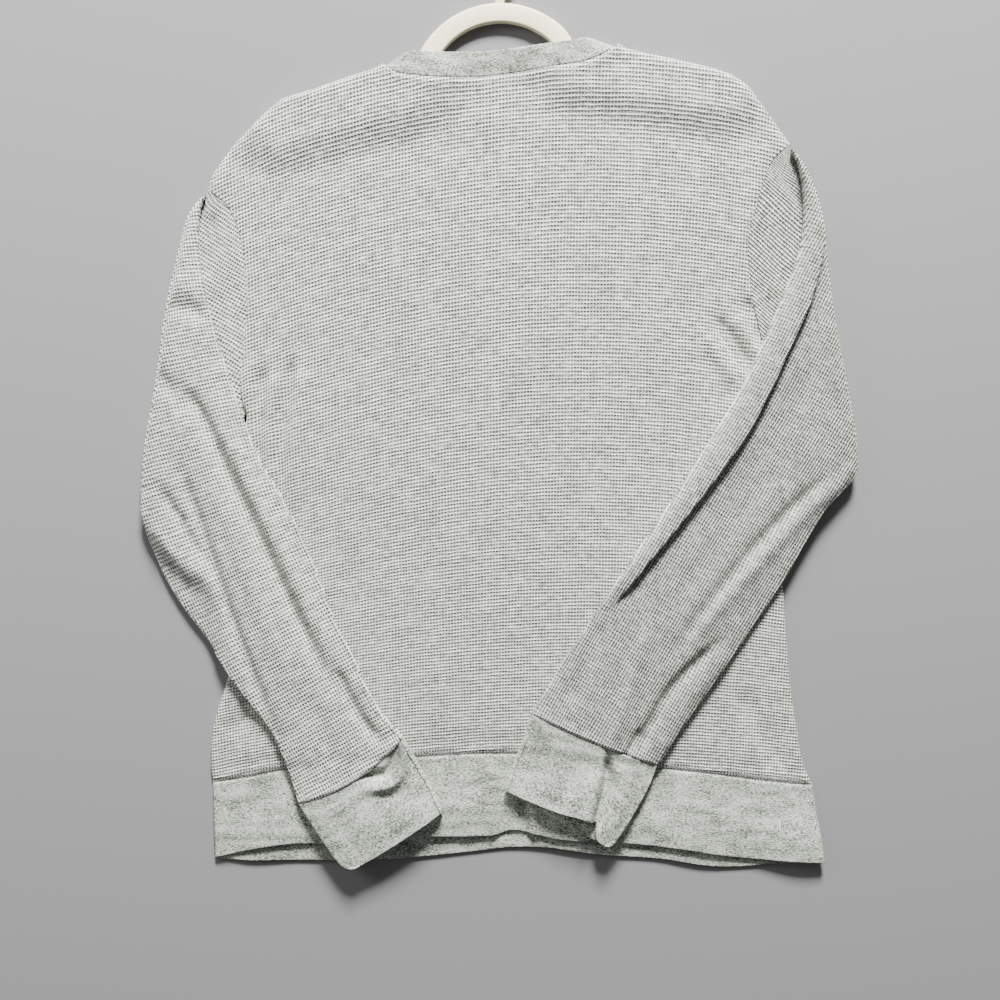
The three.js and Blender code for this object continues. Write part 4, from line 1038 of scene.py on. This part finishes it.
def sleeve_shell(name, sleeve):
    """The whole sleeve as one closed wall, with its rolled pleat if it has one, and the two rows of
    stitches above its cuff."""
    last = len(sleeve["inner"]) + 2
    near_cuff = last - seam_steps[::-1] / RING_LENGTH
    rings = [np.linspace(0, 1, 12)[:-1], np.linspace(1, 2, 12)[:-1], np.linspace(2, 4, 26)[:-1]]
    r = np.concatenate([*rings, np.linspace(4, near_cuff[0], 140)[:-1], near_cuff])[:, None]
    share, inset, level = (np.repeat(column[None, :], len(r), 0) for column in tube_turn(50, 110))
    raised = np.zeros(share.shape)
    if "pleat" in sleeve:
        tucked, lifted = pleat_columns(sleeve, r)
        upper = np.where(level[0] <= -1)[0]
        before, after = slice(0, upper[0]), slice(upper[-1] + 1, None)
        end_rise = np.repeat(lifted[:, -1:], share.shape[1] - upper[-1] - 1, 1)
        ones = np.ones(tucked.shape)
        share = np.concatenate([share[:, before], tucked, share[:, after]], 1)
        inset = np.concatenate([inset[:, before], 0 * ones, inset[:, after]], 1)
        raised = np.concatenate([raised[:, before], lifted, end_rise], 1)
        level = np.concatenate([level[:, before], -ones, level[:, after]], 1)
    r = r + 0 * share
    outer, weave = sleeve_surface(sleeve, r, share, inset, level, raised)
    t = np.linspace(0.03, 0.97, 90)[None, :]
    seams = [last - row / RING_LENGTH + 0 * t for row in STITCH_ROWS]
    lines = [sleeve_surface(sleeve, seam, t, 0, -1 + 0 * t)[0][0] for seam in seams]
    stitch_rows(name.replace("cloth", "stitches"), lines)
    return shell(name, outer, np.concatenate([weave, weave[:, :1]], 1), ring=True)


left_sleeve = sleeve_shell("sleeve_left_cloth", LEFT_SLEEVE)
settle(left_sleeve, "sleeve_left", waffle)
right_sleeve = sleeve_shell("sleeve_right_cloth", RIGHT_SLEEVE)
drawn_waffle = cloth_material(
    "waffle_knit_drawn", KNIT_GREY, ribs=0.3, relief=1.4, drawn=0.36, contrast=0.95
)
settle(right_sleeve, "sleeve_right", drawn_waffle)

# Cuffs: short tubes of plain jersey, folded double, on the ends of the sleeves. They lie on the
# hem band; the right one is pressed into a pleat that shows its lower layer.
LEFT_CUFF = {
    "inner": [(-88, -305), (-79, -322), (-63, -349), (-52, -372)],
    "outer": [(-184, -366), (-172, -384), (-158, -405), (-141, -428)],
    "bow": [(0, 9), (0.33, 8), (0.66, 6), (1, 4)],
    "short": [(0, 0), (0.3, 2), (0.7, 2), (1, 0)],
    "corner": 14,
    "creases": [
        ([(-128, -338), (-113, -338), (-104, -338), (-99, -331), (-96, -320), (-97, -306)], 7.5, 4.2),
        ([(-86, -308), (-88, -328), (-93, -342), (-104, -349), (-122, -351)], -4.4, 5),
        ([(-112, -358), (-96, -356), (-80, -350)], 1.6, 6),
        ([(-150, -372), (-136, -396), (-126, -410)], 1.0, 8),
    ],
}
RIGHT_CUFF = {
    "inner": [(28, -283), (22, -305), (12, -330), (4, -353)],
    "outer": [(144, -331), (138, -347), (124, -372), (102, -405)],
    "bow": [(0, 2), (0.33, 3), (0.66, 3), (1, 3)],
    "short": [(0, 0), (0.25, 5), (0.5, 10), (0.7, 15), (0.79, 15), (0.85, 3), (0.92, 0), (1, 0)],
    "corner": 6,
    "creases": [
        ([(87, -388), (93, -366), (98, -346), (98, -320)], 8.0, 4),
        ([(77, -384), (84, -360), (89, -334)], -3.6, 5),
        ([(108, -328), (112, -352), (106, -388)], -3.2, 6),
        ([(96, -314), (92, -340), (58, -370)], -1.4, 8),
        ([(40, -300), (36, -330), (34, -356)], 1.2, 9),
    ],
}
CUFF_PUFF = 5.2
CUFF_LENGTH = 72


def cuff_shell(name, cuff, sleeve):
    """A flattened tube between the two edges of the cuff, bowed towards the hand and rounded at the
    outer corner by a quarter circle. Its upper layer stands off by a half ellipse of puff and its
    creases, and ends short of the lower one."""
    share, inset, level = tube_turn(60, 110)
    r = np.concatenate([seam_steps / CUFF_LENGTH, np.linspace(0.16, 1, 60)])[:, None]
    inner, outer_edge = curve(cuff["inner"], r), curve(cuff["outer"], r)
    across = outer_edge - inner
    width = np.linalg.norm(across, axis=-1)
    onward = np.stack([-across[..., 1], across[..., 0]], -1) * -sleeve["out"] / width[..., None]
    near_end = np.clip(1 - (1 - r) * CUFF_LENGTH / cuff["corner"], 0, 1)
    drawn_in = cuff["corner"] * (1 - np.sqrt(1 - near_end**2)) / width
    t = np.clip(share[None, :] + inset[None, :] * TUBE_EDGE / width, 0, 1) * (1 - drawn_in)
    upperness = (1 - level[None, :]) / 2
    ahead = 4 * through(cuff["bow"], r) * t * (1 - t) - 0.4 * (1 - r)
    ahead = ahead - through(cuff["short"], t) * upperness * r**2
    plan = inner + across * t[..., None] + onward * ahead[..., None]
    x, y = plan[..., 0], plan[..., 1]
    puff = CUFF_PUFF * np.sqrt(4 * t * (1 - t)) + creases(cuff["creases"], x, y)
    puff = np.maximum(puff, 0) * (level < 0) * np.abs(level)
    seam = -BAND_DIP * bell(r * CUFF_LENGTH, SEAM_REACH) * (level < 0)
    z = rest_height(sleeve, x, y) + (FLAT_HEIGHT + BAND_EXTRA + puff + seam) * upperness
    weave = np.stack([t * width, r * CUFF_LENGTH + 0 * t], -1)
    weave = np.concatenate([weave, weave[:, :1]], 1)
    return shell(name, np.stack([x, y, z], -1), weave, BAND_WALL, ring=True)


left_cuff = cuff_shell("cuff_left_cloth", LEFT_CUFF, LEFT_SLEEVE)
settle(left_cuff, "cuff_left", jersey)
right_cuff = cuff_shell("cuff_right_cloth", RIGHT_CUFF, RIGHT_SLEEVE)
settle(right_cuff, "cuff_right", jersey)

# Floor, light and camera: a plain floor, a large soft light from beyond the neck with weak fill
# from the left, and a camera straight above, as the garment was photographed.
PHOTO_WIDTH = 0.92
CAMERA_HEIGHT = 0.995
CLOTH_HEIGHT = 0.007
SENSOR = 36
PHOTO_MIDDLE = (0.986 * MM, -88 * MM)
FLOOR_GREY = (0.24, 0.235, 0.24, 1)
SKY_WHITE = (0.96, 0.98, 1, 1)

bpy.ops.mesh.primitive_plane_add(size=8, location=(0, 0, 0))
floor = bpy.context.object
floor.name = "floor"
floor_material, floor_shader, _ = new_material("floor_grey")
floor_shader["Base Color"].default_value = FLOOR_GREY
floor_shader["Roughness"].default_value = 0.9
floor.data.materials.append(floor_material)


def soft_light(name, place, target, size, power):
    """A square area light of a size in metres, turned from its place towards a target."""
    data = bpy.data.lights.new(name, "AREA")
    data.shape = "SQUARE"
    data.size = size
    data.energy = power
    lamp = bpy.data.objects.new(name, data)
    lamp.location = place
    way = np.array(target, float) - np.array(place, float)
    tilt = math.atan2(np.hypot(way[0], way[1]), -way[2])
    lamp.rotation_euler = (tilt, 0, math.atan2(way[1], way[0]) - math.pi / 2)
    bpy.context.scene.collection.objects.link(lamp)


soft_light("key", (0.25, 2.6, 1.4), (0, 0, 0), 0.7, 435)
soft_light("fill", (-1.7, 0.8, 0.9), (0, 0, 0), 0.8, 16)
world = bpy.data.worlds.new("studio")
world.use_nodes = True
sky = world.node_tree.nodes["Background"].inputs
sky["Color"].default_value = SKY_WHITE
sky["Strength"].default_value = 0.17
bpy.context.scene.world = world

camera_data = bpy.data.cameras.new("camera")
camera_data.sensor_width = SENSOR
camera_data.lens = SENSOR * CAMERA_HEIGHT / PHOTO_WIDTH
camera = bpy.data.objects.new("camera", camera_data)
camera.location = (*PHOTO_MIDDLE, CAMERA_HEIGHT + CLOTH_HEIGHT)
bpy.context.scene.collection.objects.link(camera)
bpy.context.scene.camera = camera
